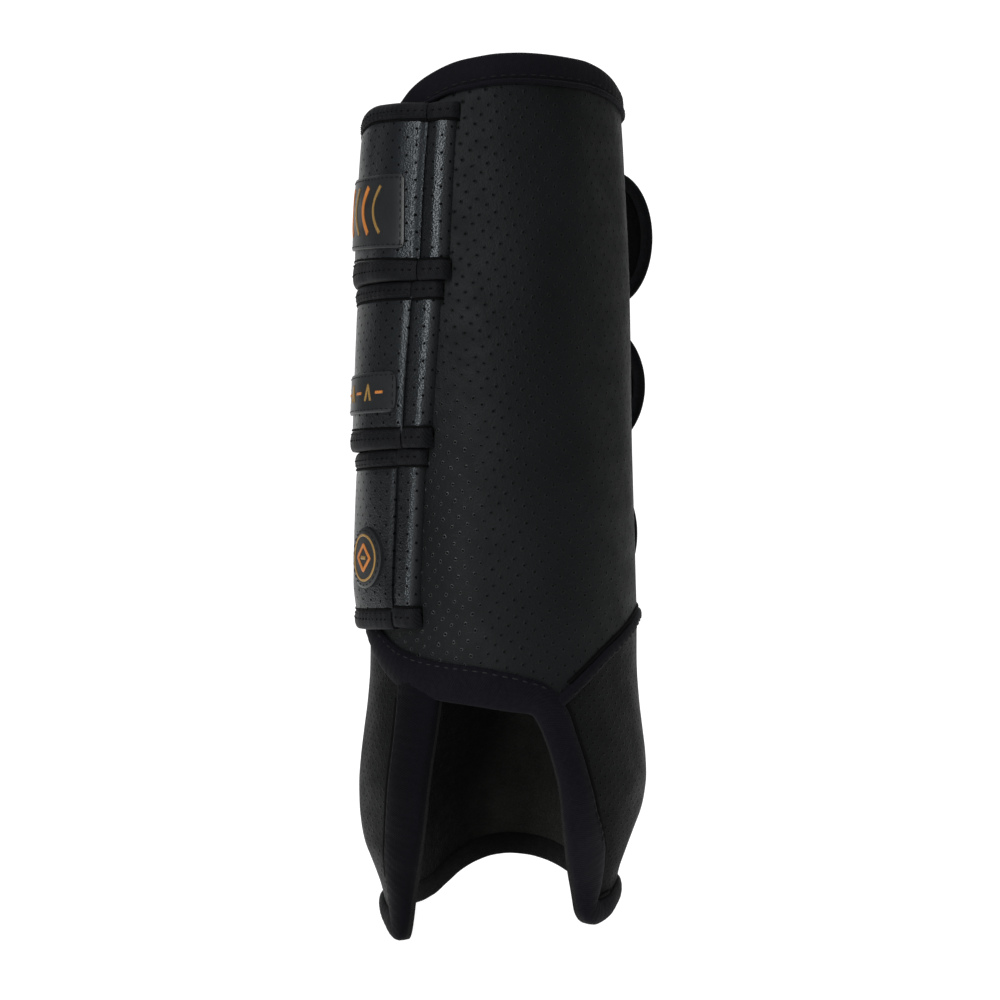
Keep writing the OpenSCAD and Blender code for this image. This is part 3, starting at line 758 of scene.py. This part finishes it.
# edge of the closing lobe, under the front binding when shut
a = np.linspace(87.0, 25.0, 90)
lobe = strip("lobe_edge", np.stack([(a - 360) * D2S, FRONT(a) + 3.6], -1), 4.6, -1, EDGE_T - 1.2, M_BIND, lift=-0.75, puff=-0.1)
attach(lobe, "side_flap")

# bound seam between cup and wrap
a = np.linspace(-22, -271, 300)
seam_path = np.stack([a * D2S, SEAM(np.maximum(a, -272))], -1)
seam_bind = strip("cup_seam", seam_path, 3.6, 1, 1.0, M_BIND, lift=0.35, puff=0.35)
on_back(seam_bind)
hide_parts("right_seam_piping", "left_seam_piping")
# painted shadow: a dark strip along the upper edge of the cup seam
q_ = seam_path[8:] + np.array([0.0, 0.35])
shade_strip_ob = strip("cup_seam_shadow_strip", q_, 1.2, -1, 0.4, M_SHADOW_STRIP_AND_STITCH, puff=-0.3, inner=0.3)
on_back(shade_strip_ob)

# ---------------------------------------------------------------- straps
# roll: where the sewn strip is highest, its fall to the seam, the rise beside the seam and the depth of the seam
# swell: how far the strap rises past the seam, and over what length; straight: below this height it no longer follows the wall
STRAPS = {
    "upper": dict(z=(217.0, 274.0), end=(217.2, 267.0), base=(18.0, 21.6), seam=(29.2, 32.8), reach=56.6, flare=1.2, tilt=(1.7, 4.6), fall=2.7, low=(8.4, 6.0), cap=15.0, roll=(0.46, 1.1, 0.0, 1.7), swell=(1.35, 9.5), straight=0.0),
    "middle": dict(z=(162.8, 216.3), end=(162.8, 211.6), base=(24.4, 29.0), seam=(36.0, 39.2), reach=54.0, flare=1.9, tilt=(-0.9, 1.4), fall=0.0, low=(7.0, 6.0), cap=19.0, roll=(0.40, 0.35, 0.0, 0.55), swell=(0.2, 8.0), straight=0.0),
    "lower": dict(z=(104.2, 162.1), end=(105.6, 158.4), base=(31.2, 34.8), seam=(43.4, 45.4), reach=51.2, flare=1.05, tilt=(-2.7, -1.1), fall=0.0, low=(6.0, 6.0), cap=19.0, roll=(0.48, 0.40, 0.0, 0.5), swell=(0.0, 8.0), straight=106.0),
}
T_IN, T_OUT = 1.25, 3.45


def strap_kit(nm):
    d = STRAPS[nm]
    z0, z1 = d["z"]
    e0, e1 = d["end"]
    h = (e1 - e0) / 2
    s180 = 180 * D2S
    send = s180 + d["reach"]
    cap = d["cap"]                 # length of the rounded tip
    s98, sround = 96 * D2S, send - cap
    lean = lambda s: sstep(22 * D2S, 84 * D2S, s)
    top = lambda s: z1 + d["tilt"][1] * lean(s) - d["fall"] * sstep(57 * D2S, 86 * D2S, s) + (e1 - z1 - d["tilt"][1] + d["fall"]) * sstep(s98, s180 + 5, s)
    bot = lambda s: z0 + d["tilt"][0] * lean(s) + (e0 - z0 - d["tilt"][0]) * sstep(s98, s180 + 5, s)

    def pos(s, z, dr):
        s, z, dr = np.broadcast_arrays(np.asarray(s, float), np.asarray(z, float), np.asarray(dr, float))
        f = np.clip((z1 - z) / (z1 - z0), -0.2, 1.2)
        fade = 1 - sstep(s98 - 10, s98 + 45, s)
        gone = s - (d["seam"][0] + (d["seam"][1] - d["seam"][0]) * f) * D2S        # distance from the seam
        amp, run_ = d["swell"]
        rise = T_IN + d["flare"] * f * fade + amp * sstep(0, run_, gone) * (1 - sstep(run_, run_ + 16, gone))
        zz = z + (0.5 * (e0 + e1) - z) * sstep(s98 + 20, s180, s) * 1.0
        thd = np.minimum(s, s180) / D2S
        r = wall_r(thd, np.maximum(zz, d["straight"])) + rise + dr
        ang = np.radians(thd)
        x = AX - r * np.sin(ang) + np.maximum(s - s180, 0)
        y = AY - r * np.cos(ang) - 0.0009 * np.maximum(s - s180, 0) ** 2 * 1.2
        return np.stack([x, y, z], -1) * MM
    return d, top, bot, pos, s180, send, sround, h, cap


thread_rows = {}
for nm in STRAPS:
    d, top, bot, pos, s180, send, sround, h, cap = strap_kit(nm)
    s_top, s_bot = d["seam"][0] * D2S, d["seam"][1] * D2S
    zmid = 0.5 * (d["end"][0] + d["end"][1])
    # the strap is split into a root, where it is sewn on, and an end round the side; neither bends
    s_split = 89.0 * D2S
    tm = math.radians((d["seam"][0] + d["seam"][1]) / 2)
    bend0 = np.array([AX - 48.8 * math.sin(tm), AY - 48.8 * math.cos(tm), sum(d["z"]) / 2])

    def at_root(o_):
        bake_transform(o_)

    def at_fold(o_):
        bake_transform(o_)

    def outside(S_):
        """How far the leather stands out: sunk at the seam, lower at the bound edges."""
        gone = S_ - (s_bot + (s_top - s_bot) * (vv + 1) / 2)[None]        # distance from the seam
        face_ = T_OUT - T_IN + 0.25 * np.cos(vv * math.pi / 2)[None] - d["roll"][3] * np.exp(-(gone / 1.5) ** 2) + d["roll"][2] * np.exp(-((gone - 5.0) / 3.0) ** 2)
        half_ = np.maximum((top(S_) - bot(S_)) / 2, 1.0)
        return face_ - 0.6 * (1 - sstep(1.0, 7.5, (1 - np.abs(vv))[None] * half_))

    nv = 46
    vv = np.linspace(-1, 1, nv)
    S, Z = [], []
    for uu in np.concatenate([np.linspace(0, 0.26, 40)[:-1], np.linspace(0.26, 1, 46)]):
        s_start = s_bot + (s_top - s_bot) * (vv + 1) / 2
        s = s_start + (s_split - s_start) * uu
        S.append(s)
        Z.append((top(s) + bot(s)) / 2 + ((top(s) - bot(s)) / 2 - 0.8) * vv)
    S, Z = np.array(S), np.array(Z)
    face = {"upper": M_STRAP_UP_LIT, "middle": M_STRAP, "lower": M_STRAP_LOW_SHADED}[nm]
    root = slab(nm + "_strap_root", S, Z, outside(S), 0.9, face, pos)
    # the end, with a round tip
    u1 = np.linspace(0, 1, 100)
    S, Z = [], []
    for uu in u1:
        s = np.full(nv, s_split + (sround - s_split) * uu)
        S.append(s)
        Z.append((top(s) + bot(s)) / 2 + ((top(s) - bot(s)) / 2 - 0.8) * vv)
    for f in np.linspace(0, math.radians(84), 22)[1:]:
        S.append(np.full(nv, sround + (cap - 0.8) * math.sin(f)))
        Z.append(zmid + (h - 0.8) * math.cos(f) * vv)
    S, Z = np.array(S), np.array(Z)
    body = slab(nm + "_strap_body", S, Z, outside(S), 0.9, face, pos)
    # hook tape on the inside of the end
    keep = slice(int(np.searchsorted(u1, 0.32)), None)
    hook = slab(nm + "_hook_tape", S[keep] - 0.0, zmid + (Z[keep] - zmid) * 0.86, 0.9, 0.0, M_HOOK, pos)
    # binding round the whole outline
    def dipped(s_, z_, dr):
        f_ = np.clip((z_ - d["z"][0]) / (d["z"][1] - d["z"][0]), 0, 1)
        return pos(s_, z_, dr - 0.9 * np.exp(-((s_ - (s_bot + (s_top - s_bot) * f_)) / 1.1) ** 2))

    def bound(name, path, w_):
        return strip(name, path, w_, -1, T_OUT - T_IN - 0.7, M_SBIND, dipped, lift=T_OUT - T_IN - 0.55, puff=0.2, inner=0.6, lining=M_TIP)

    sa, sb = np.linspace(s_top + 0.3, s_split, 90), np.linspace(s_split, s_bot + 0.3, 90)
    sc, sd = np.linspace(s_split, sround, 150), np.linspace(sround, s_split, 150)
    fa = np.linspace(math.pi / 2, -math.pi / 2, 60)[1:-1]
    out = np.concatenate([np.stack([sc, top(sc)], -1), np.stack([sround + cap * np.cos(fa), zmid + h * np.sin(fa)], -1), np.stack([sd, bot(sd)], -1)])
    edge_t = bound(nm + "_root_edge_top", np.stack([sa, top(sa)], -1), 5.2)
    edge_b = bound(nm + "_root_edge_low", np.stack([sb, bot(sb)], -1), d["low"])
    # painted shadow: a dark strip where the binding ends on the leather
    w_low = np.linspace(d["low"][0], d["low"][1], len(sb))
    line_t = strip(nm + "_root_shadow_strip_top", np.stack([sa, top(sa) - 5.1], -1), 0.9, -1, 0.3, M_SHADOW_STRIP_AND_STITCH, dipped, step=0.8, lift=T_OUT - T_IN - 0.3, puff=-0.35, inner=0.2)
    line_b = strip(nm + "_root_shadow_strip_low", np.stack([sb, bot(sb) + w_low - 0.1], -1), 0.9, -1, 0.3, M_SHADOW_STRIP_AND_STITCH, dipped, step=0.8, lift=T_OUT - T_IN - 0.3, puff=-0.35, inner=0.2)
    dots = stitches(nm + "_root_dots", [(np.stack([sa, top(sa)], -1), -1, 2.6, T_OUT - T_IN + 0.5, dipped), (np.stack([sb, bot(sb)], -1), -1, [3.6, 2.9], T_OUT - T_IN + 0.5, dipped)],
                    M_SHADOW_STRIP_AND_STITCH, pitch=2.6, length=1.3, rad=0.3)
    edge = bound(nm + "_strap_edge", out, [5.2, 4.7, 4.6, 4.6, 4.9, d["low"][0]])
    # seam where the strap starts
    zz = np.linspace(d["z"][0] + 3.4, d["z"][1] - 2.8, 80)
    f = (zz - d["z"][0]) / (d["z"][1] - d["z"][0])
    sseam = s_bot + (s_top - s_bot) * f
    sbase = (d["base"][1] + (d["base"][0] - d["base"][1]) * f) * D2S
    up = T_OUT - T_IN + 0.42
    root_t = stitches(nm + "_root_stitches", [(np.stack([sa, top(sa)], -1), -1, 4.2, up, pos), (np.stack([sb, bot(sb)], -1), -1, [w_low[0] - 1.1, 4.9], up, pos),
                                              (np.stack([sseam, zz], -1)[5:-4], -1, 2.6, T_OUT - T_IN - 0.02, pos)], M_THREAD_DARK, rad=0.22)
    end_t = stitches(nm + "_end_stitches", [(np.stack([sc, top(sc)], -1)[:52], -1, 4.2, up, pos), (np.stack([sd, bot(sd)], -1)[98:], -1, 4.9, up, pos)],
                     M_THREAD_DARK, rad=0.22)
    for o, sl in ((root, "leather"), (edge_t, "binding"), (edge_b, "binding"), (root_t, "binding"), (line_t, "binding"), (line_b, "binding"), (dots, "binding")):
        at_root(o)
    for o, sl in ((body, "leather"), (hook, "hook"), (edge, "binding"), (end_t, "binding")):
        at_fold(o)
    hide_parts(nm + "_strap")
    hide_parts(nm + "_strap_end")
    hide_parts(nm + "_hook_pad")
    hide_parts(nm + "_strap_binding")
    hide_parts(nm + "_end_binding")
    # sewn base: the leather is rolled round an edge and sewn down along the seam
    def base_lift(s_, z_):
        ff = np.clip((d["z"][1] - z_) / (d["z"][1] - d["z"][0]), 0, 1)
        sb_ = (d["base"][0] + (d["base"][1] - d["base"][0]) * ff) * D2S
        ss_ = s_top + (s_bot - s_top) * ff
        u_ = np.clip((s_ - sb_) / (ss_ - sb_), 0, 1)
        high = T_OUT + d["flare"] * ff + wall_r(s_ / D2S, np.maximum(z_, d["straight"])) - wall_r(s_ / D2S, z_)
        return 0.35 + (high * 0.97 - 0.35) * np.sqrt(np.clip(1 - (1 - np.minimum(u_ / d["roll"][0], 1)) ** 2.2, 0, 1)) - d["roll"][1] * sstep(d["roll"][0], 1.0, u_) - 0.5 * np.exp(-((1 - u_) / 0.1) ** 2)

    def over_base(s_, z_, dr):
        s_, z_, dr = np.broadcast_arrays(np.asarray(s_, float), np.asarray(z_, float), np.asarray(dr, float))
        ff = np.clip((d["z"][1] - z_) / (d["z"][1] - d["z"][0]), 0, 1)
        sb_ = (d["base"][0] + (d["base"][1] - d["base"][0]) * ff) * D2S - 1.0
        ss_ = s_top + (s_bot - s_top) * ff
        u_ = np.clip((s_ - sb_) / (ss_ - sb_), 0, 1)
        high = T_OUT + d["flare"] * ff + wall_r(s_ / D2S, np.maximum(z_, d["straight"])) - wall_r(s_ / D2S, z_)
        r_ = 0.35 + (high - 0.35) * np.sqrt(np.clip(1 - (1 - np.minimum(u_ / d["roll"][0], 1)) ** 2.2, 0, 1)) - 0.9 * np.exp(-((s_ - ss_) / 1.1) ** 2)
        return on_wall(s_, z_, r_ + dr)

    def on_base(s_, z_, dr):
        s_, z_, dr = np.broadcast_arrays(np.asarray(s_, float), np.asarray(z_, float), np.asarray(dr, float))
        return on_wall(s_, z_, base_lift(s_, z_) + dr)

    uu = (1 - np.cos(np.linspace(0, math.pi, 40)))[:, None] / 2
    S = sbase[None] + (sseam - 0.12 - sbase)[None] * uu
    Z = np.repeat(zz[None], 40, 0)
    rise = base_lift(S, Z)
    run = np.cumsum(np.concatenate([np.zeros((1, S.shape[1])), np.hypot(np.diff(S, axis=0), np.diff(rise, axis=0))]), axis=0)
    base_o = slab(nm + "_base_roll", S, Z, 0.0, 0.02 - rise, M_BASE_LOW_SHADED if nm == "lower" else M_BASE, on_base, along=S[-1:] + run - run[-1:])
    layer = base_o.data.uv_layers.new(name="edge")
    idx = np.empty(len(base_o.data.loops), np.int32)
    base_o.data.loops.foreach_get("vertex_index", idx)
    far = np.concatenate([run.ravel(), run.ravel()]) * MM
    layer.data.foreach_set("uv", np.stack([far[idx], 0 * far[idx]], -1).ravel())
    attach(base_o, "shell")
    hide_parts(nm + "_strap_base")
    for tag, zc, side in (("top", d["z"][1], -1), ("low", d["z"][0], 1)):
        k = 0 if tag == "low" else -1
        q_ = np.linspace(sbase[k] - 1.0, sseam[k] - 0.1, 40)
        o = strip(nm + "_base_edge_" + tag, np.stack([q_, np.full_like(q_, zc)], -1), 5.2 if tag == "top" else 6.0, side, 1.0, M_SBIND, over_base, step=0.5, lift=-0.35, puff=0.2, inner=0.3)
        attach(o, "shell")
        wid = 5.2 if tag == "top" else 6.0
        # painted shadow: a dark strip where the base binding ends on the leather
        o = strip(nm + "_base_shadow_strip_" + tag, np.stack([q_, np.full_like(q_, zc + (-wid + 0.1 if tag == "top" else wid - 0.1))], -1), 0.9, side, 0.3, M_SHADOW_STRIP_AND_STITCH, over_base, step=0.5, lift=-0.3, puff=-0.35, inner=0.2)
        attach(o, "shell")
        o = stitches(nm + "_base_dots_" + tag, [(np.stack([q_, np.full_like(q_, zc)], -1)[6:], side, wid * 0.5, 0.72, over_base)], M_SHADOW_STRIP_AND_STITCH, pitch=2.6, length=1.3, rad=0.3)
        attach(o, "shell")
    st = stitches(nm + "_base_stitches", [(np.stack([sseam, zz], -1)[5:-4], 1, 1.5, 0.0, on_base)], M_THREAD_DARK, rad=0.22)
    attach(st, "shell")

    # badge
    climb = 0.1 if nm == "upper" else 0.0

    def leaned(s_, z_, dr):
        return pos(s_, z_ + climb * (s_ - 37.4 * D2S), dr)

    def patch(name, s0, s1, z0, z1, rad, lift0, lift1, mat, bevel=0.4):
        """Rounded rectangle lying on the strap."""
        cx, cz, hx, hz = (s0 + s1) / 2, (z0 + z1) / 2, (s1 - s0) / 2, (z1 - z0) / 2
        rad = min(rad, hx, hz)
        loop = []
        for qx, qz, a0 in ((1, 1, 0), (-1, 1, 90), (-1, -1, 180), (1, -1, 270)):
            for a in np.radians(np.linspace(a0, a0 + 90, 9)):
                loop.append((cx + qx * (hx - rad) + rad * math.cos(a), cz + qz * (hz - rad) + rad * math.sin(a)))
        loop = np.array(loop)
        dense, _ = resample(np.concatenate([loop, loop[:1]]), max(0.5, min(2.0, (hx + hz) / 12)))
        loop = dense[:-1]
        c = np.array([cx, cz])
        rings, n = [], len(loop)
        fr = [0.2, 0.4, 0.6, 0.8, 1.0, 1.0, None] + [0.8, 0.6, 0.4, 0.2]
        lv = [lift0] * 5 + [lift1 - bevel * 0.6, lift1, lift1, lift1, lift1, lift1]
        size = min(hx, hz)
        for k, (g, l) in enumerate(zip(fr, lv)):
            g = 1 - bevel / size if g is None else g
            q = c + (loop - c) * g
            rings.append((q, l))
        V, U, F = [], [], []
        for q, l in rings:
            V.append(leaned(q[:, 0], q[:, 1], l))
            U.append(q * MM)
        for l in (lift1, lift0):
            V.append(leaned(np.array([cx]), np.array([cz]), l))
            U.append(np.array([[cx, cz]]) * MM)
        for k in range(len(rings) - 1):
            for j in range(n):
                F.append((k * n + j, k * n + (j + 1) % n, (k + 1) * n + (j + 1) % n, (k + 1) * n + j))
        top_i = len(rings) * n
        k = len(rings) - 1
        for j in range(n):
            F.append((k * n + j, k * n + (j + 1) % n, top_i))
            F.append(((j + 1) % n, j, top_i + 1))
        o = fix_normals(make(name, np.concatenate(V), F, mat, np.concatenate(U)))
        at_root(o)
        return o

    def line(name, pts, width, lift0, lift1, mat, closed=False):
        """Raised line lying on the strap."""
        p = np.asarray(pts, float)
        if closed:
            p = np.concatenate([p, p[:1]])
        p, q = resample(p, 0.6)
        t, n = frames(p, 1) if not closed else (None, None)
        if closed:
            pp = p[:-1]
            t = np.roll(pp, -1, 0) - np.roll(pp, 1, 0)
            t /= np.linalg.norm(t, axis=1)[:, None]
            n = np.stack([-t[:, 1], t[:, 0]], -1)
            p, q = pp, q[:-1]
        cols, us = [], []
        for a, l in ((-0.5, lift0), (-0.5, lift1 - 0.1), (-0.32, lift1), (0.32, lift1), (0.5, lift1 - 0.1), (0.5, lift0)):
            w_ = p + n * a * width
            cols.append(leaned(w_[:, 0], w_[:, 1], l))
            us.append(w_ * MM)
        V = np.stack(cols, 1)
        if closed:
            V = np.concatenate([V, V[:1]])
            us = [np.concatenate([k, k[:1]]) for k in us]
        nu, m = V.shape[:2]
        F = grid_faces(nu, m, wrap_v=True)
        if not closed:
            F += [tuple(range(m)), tuple((nu - 1) * m + j for j in range(m - 1, -1, -1))]
        o = fix_normals(make(name, V, F, mat, np.stack(us, 1), sharp=30))
        at_root(o)
        return o

    T = T_OUT - T_IN + 0.2
    if nm == "upper":
        s0, s1, z0, z1 = 37.4 * D2S, 91.5 * D2S, 227.2, 251.4
        b = patch("upper_badge_plate", s0, s1, z0, z1, 1.5, T - 0.6, T + 0.95, M_RUBBER)
        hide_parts("upper_badge")
        sewn = [(s0, z0), (s1, z0), (s1, z1), (s0, z1), (s0, z0)]
        for k in range(4):
            c = s0 + 10 + k * 8.2
            line("upper_badge_wave_%d" % k, [(c + 4.5 * math.sin(math.pi * f_), z0 + 5 + 15.5 * f_) for f_ in np.linspace(0, 1, 14)], 1.8 if k % 2 else 1.1,
                 T + 0.6, T + 1.25, M_ORANGE if k % 2 else M_GOLD)
    elif nm == "middle":
        s0, s1, z0, z1 = 41.0 * D2S, 91.5 * D2S, 174.2, 187.6
        b = patch("middle_badge_plate", s0, s1, z0, z1, 3.0, T - 0.6, T + 0.95, M_RUBBER)
        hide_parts("middle_badge")
        sewn = [(s0, z0), (s1, z0), (s1, z1), (s0, z1), (s0, z0)]
        cz = (z0 + z1) / 2
        for k in range(5):
            c = s0 + 7 + k * 6.2
            line("middle_badge_dash_%d" % k, [(c - 1.6, cz - 2.6), (c, cz + 2.6), (c + 1.6, cz - 2.6)] if k % 2 else [(c - 1.8, cz), (c + 1.8, cz)], 0.9, T + 0.6, T + 1.2,
                 M_GOLD if k % 2 else M_ORANGE)
    else:
        cs, cz, rr = 62.8 * D2S, 126.0, 10.3
        b = patch("lower_badge_disc", cs - rr, cs + rr, cz - rr, cz + rr, rr, T - 0.6, T + 0.95, M_RUBBER)
        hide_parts("lower_badge")
        circ = lambda r_: [(cs + r_ * math.cos(a_), cz + r_ * math.sin(a_)) for a_ in np.linspace(0, 2 * math.pi, 40)[:-1]]
        sewn = circ(rr)
        sewn.append(sewn[0])
        line("lower_badge_ring", circ(7.6), 0.8, T + 0.6, T + 1.2, M_GOLD, True)
        line("lower_badge_diamond", [(cs - 4.4, cz), (cs, cz + 4.4), (cs + 4.4, cz), (cs, cz - 4.4)], 1.2, T + 0.6, T + 1.2, M_ORANGE, True)
        line("lower_badge_bar", [(cs - 1.6, cz), (cs + 1.6, cz)], 1.2, T + 0.6, T + 1.2, M_GOLD)
    sewn = np.array(sewn)
    o = stitches(nm + "_badge_stitches", [(sewn, 1, 1.1, T + 0.93, leaned)], M_THREAD_DARK, pitch=2.6, length=1.8, rad=0.2)
    at_root(o)

# ---------------------------------------------------------------- thread in the bindings
rows = [(path_rim(JOIN + 2, 60), -1, W_RIM(np.linspace(JOIN + 2, 60, 60)) - 1.5, 0.85, on_wall)]
o = stitches("rim_stitches", rows, M_THREAD_DARK)
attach(o, "shell")
run_a = np.concatenate([[0], np.cumsum(np.hypot(*np.diff(OPENING, axis=0).T))])
w_at = np.interp(run_a, n_all * LEN_A, W_OPEN) - 1.4
o = stitches("opening_stitches", [(OPENING[2:222], -1, w_at[2:222], 1.35, on_wall)], M_THREAD)
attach(o, "shell")
o = stitches("inner_prong_stitches", [(OPENING[224:-2], -1, w_at[224:-2], 1.35, on_wall)], M_THREAD_DARK)
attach(o, "shell")
o = stitches("cup_stitches", [(HEMLINE[2:-2], -1, W_HEM - 1.4, 1.2, on_wall), (seam_path[6:150], 1, 2.7, 1.5, on_wall)], M_THREAD_DARK)
on_back(o)

# ---------------------------------------------------------------- stage
def stage():
    n = 40
    prof = [(-1.1, 0.0), (0.9, 0.0)] + [(0.9 + 0.6 * math.sin(a), 0.6 - 0.6 * math.cos(a)) for a in np.linspace(0, math.pi / 2, 16)[1:]] + [(1.5, 1.9)]
    V = [(x, y, z) for y, z in prof for x in (-1.25, 1.25)]
    F = [(2 * i, 2 * i + 1, 2 * i + 3, 2 * i + 2) for i in range(len(prof) - 1)]
    me = bpy.data.meshes.new("floor")
    me.from_pydata(V, [], F)
    me.polygons.foreach_set("use_smooth", [True] * len(F))
    o = bpy.data.objects.new("floor", me)
    bpy.context.collection.objects.link(o)
    mt = bpy.data.materials.new("floor")
    mt.use_nodes = True
    b = mt.node_tree.nodes["Principled BSDF"]
    b.inputs["Base Color"].default_value = (0.30, 0.30, 0.30, 1)
    b.inputs["Roughness"].default_value = 0.9
    b.inputs["Specular IOR Level"].default_value = 0.1
    b.inputs["Emission Color"].default_value = (1, 1, 1, 1)
    t = mt.node_tree

    def calc(op, *args):
        n_ = t.nodes.new("ShaderNodeMath")
        n_.operation = op
        for k, v_ in enumerate(args):
            if isinstance(v_, bpy.types.NodeSocket):
                t.links.new(v_, n_.inputs[k])
            else:
                n_.inputs[k].default_value = v_
        return n_.outputs[0]

    def fade(v_, *lim):
        n_ = t.nodes.new("ShaderNodeMapRange")
        n_.interpolation_type = "SMOOTHSTEP"
        t.links.new(v_, n_.inputs[0])
        for k, x in enumerate(lim):
            n_.inputs[k + 1].default_value = x
        return n_.outputs[0]

    geo, sep = t.nodes.new("ShaderNodeNewGeometry"), t.nodes.new("ShaderNodeSeparateXYZ")
    t.links.new(geo.outputs["Position"], sep.inputs[0])
    side_ = calc("SUBTRACT", calc("ABSOLUTE", sep.outputs[0]), calc("MULTIPLY_ADD", sep.outputs[1], 0.36, 0.24))
    level = calc("MINIMUM", fade(sep.outputs[1], -0.5, -0.14, 0.25, 0.98), fade(side_, 0.0, 0.35, 0.98, 0.25))
    t.links.new(level, b.inputs["Emission Strength"])
    me.materials.append(mt)


stage()


def area(name, loc, target, size, power, sy=None):
    l = bpy.data.lights.new(name, "AREA")
    l.energy = power
    l.shape = "RECTANGLE"
    l.size = size
    l.size_y = sy or size
    o = bpy.data.objects.new(name, l)
    from mathutils import Vector
    o.location = loc
    o.rotation_euler = (Vector(target) - Vector(loc)).to_track_quat("-Z", "Y").to_euler()
    bpy.context.collection.objects.link(o)


area("key", (-0.62, -1.1, 0.68), (0, 0, 0.22), 0.36, 14.6, 1.3)
area("fill", (1.2, 0.3, 0.46), (0, 0, 0.16), 0.9, 2.4, 0.8)
area("top", (0.0, 0.25, 1.6), (0, 0.1, 0.0), 1.6, 12)
area("front", (0.25, -1.5, 0.75), (0, 0, 0.15), 0.9, 2.3)

w = bpy.data.worlds.new("studio")
bpy.context.scene.world = w
w.use_nodes = True
w.node_tree.nodes["Background"].inputs[0].default_value = (1, 1, 1, 1)
w.node_tree.nodes["Background"].inputs[1].default_value = 0.045

cam = bpy.data.cameras.new("camera")
cam.sensor_width = 36
cam.lens = 62.06
cam.shift_y = -0.02
cam.clip_start = 0.01
co = bpy.data.objects.new("camera", cam)
co.location = (AX * MM, AY * MM - 0.600, 0.152)
co.rotation_euler = (math.radians(90), 0, 0)
bpy.context.collection.objects.link(co)
bpy.context.scene.camera = co
bpy.context.scene.view_settings.view_transform = "Standard"
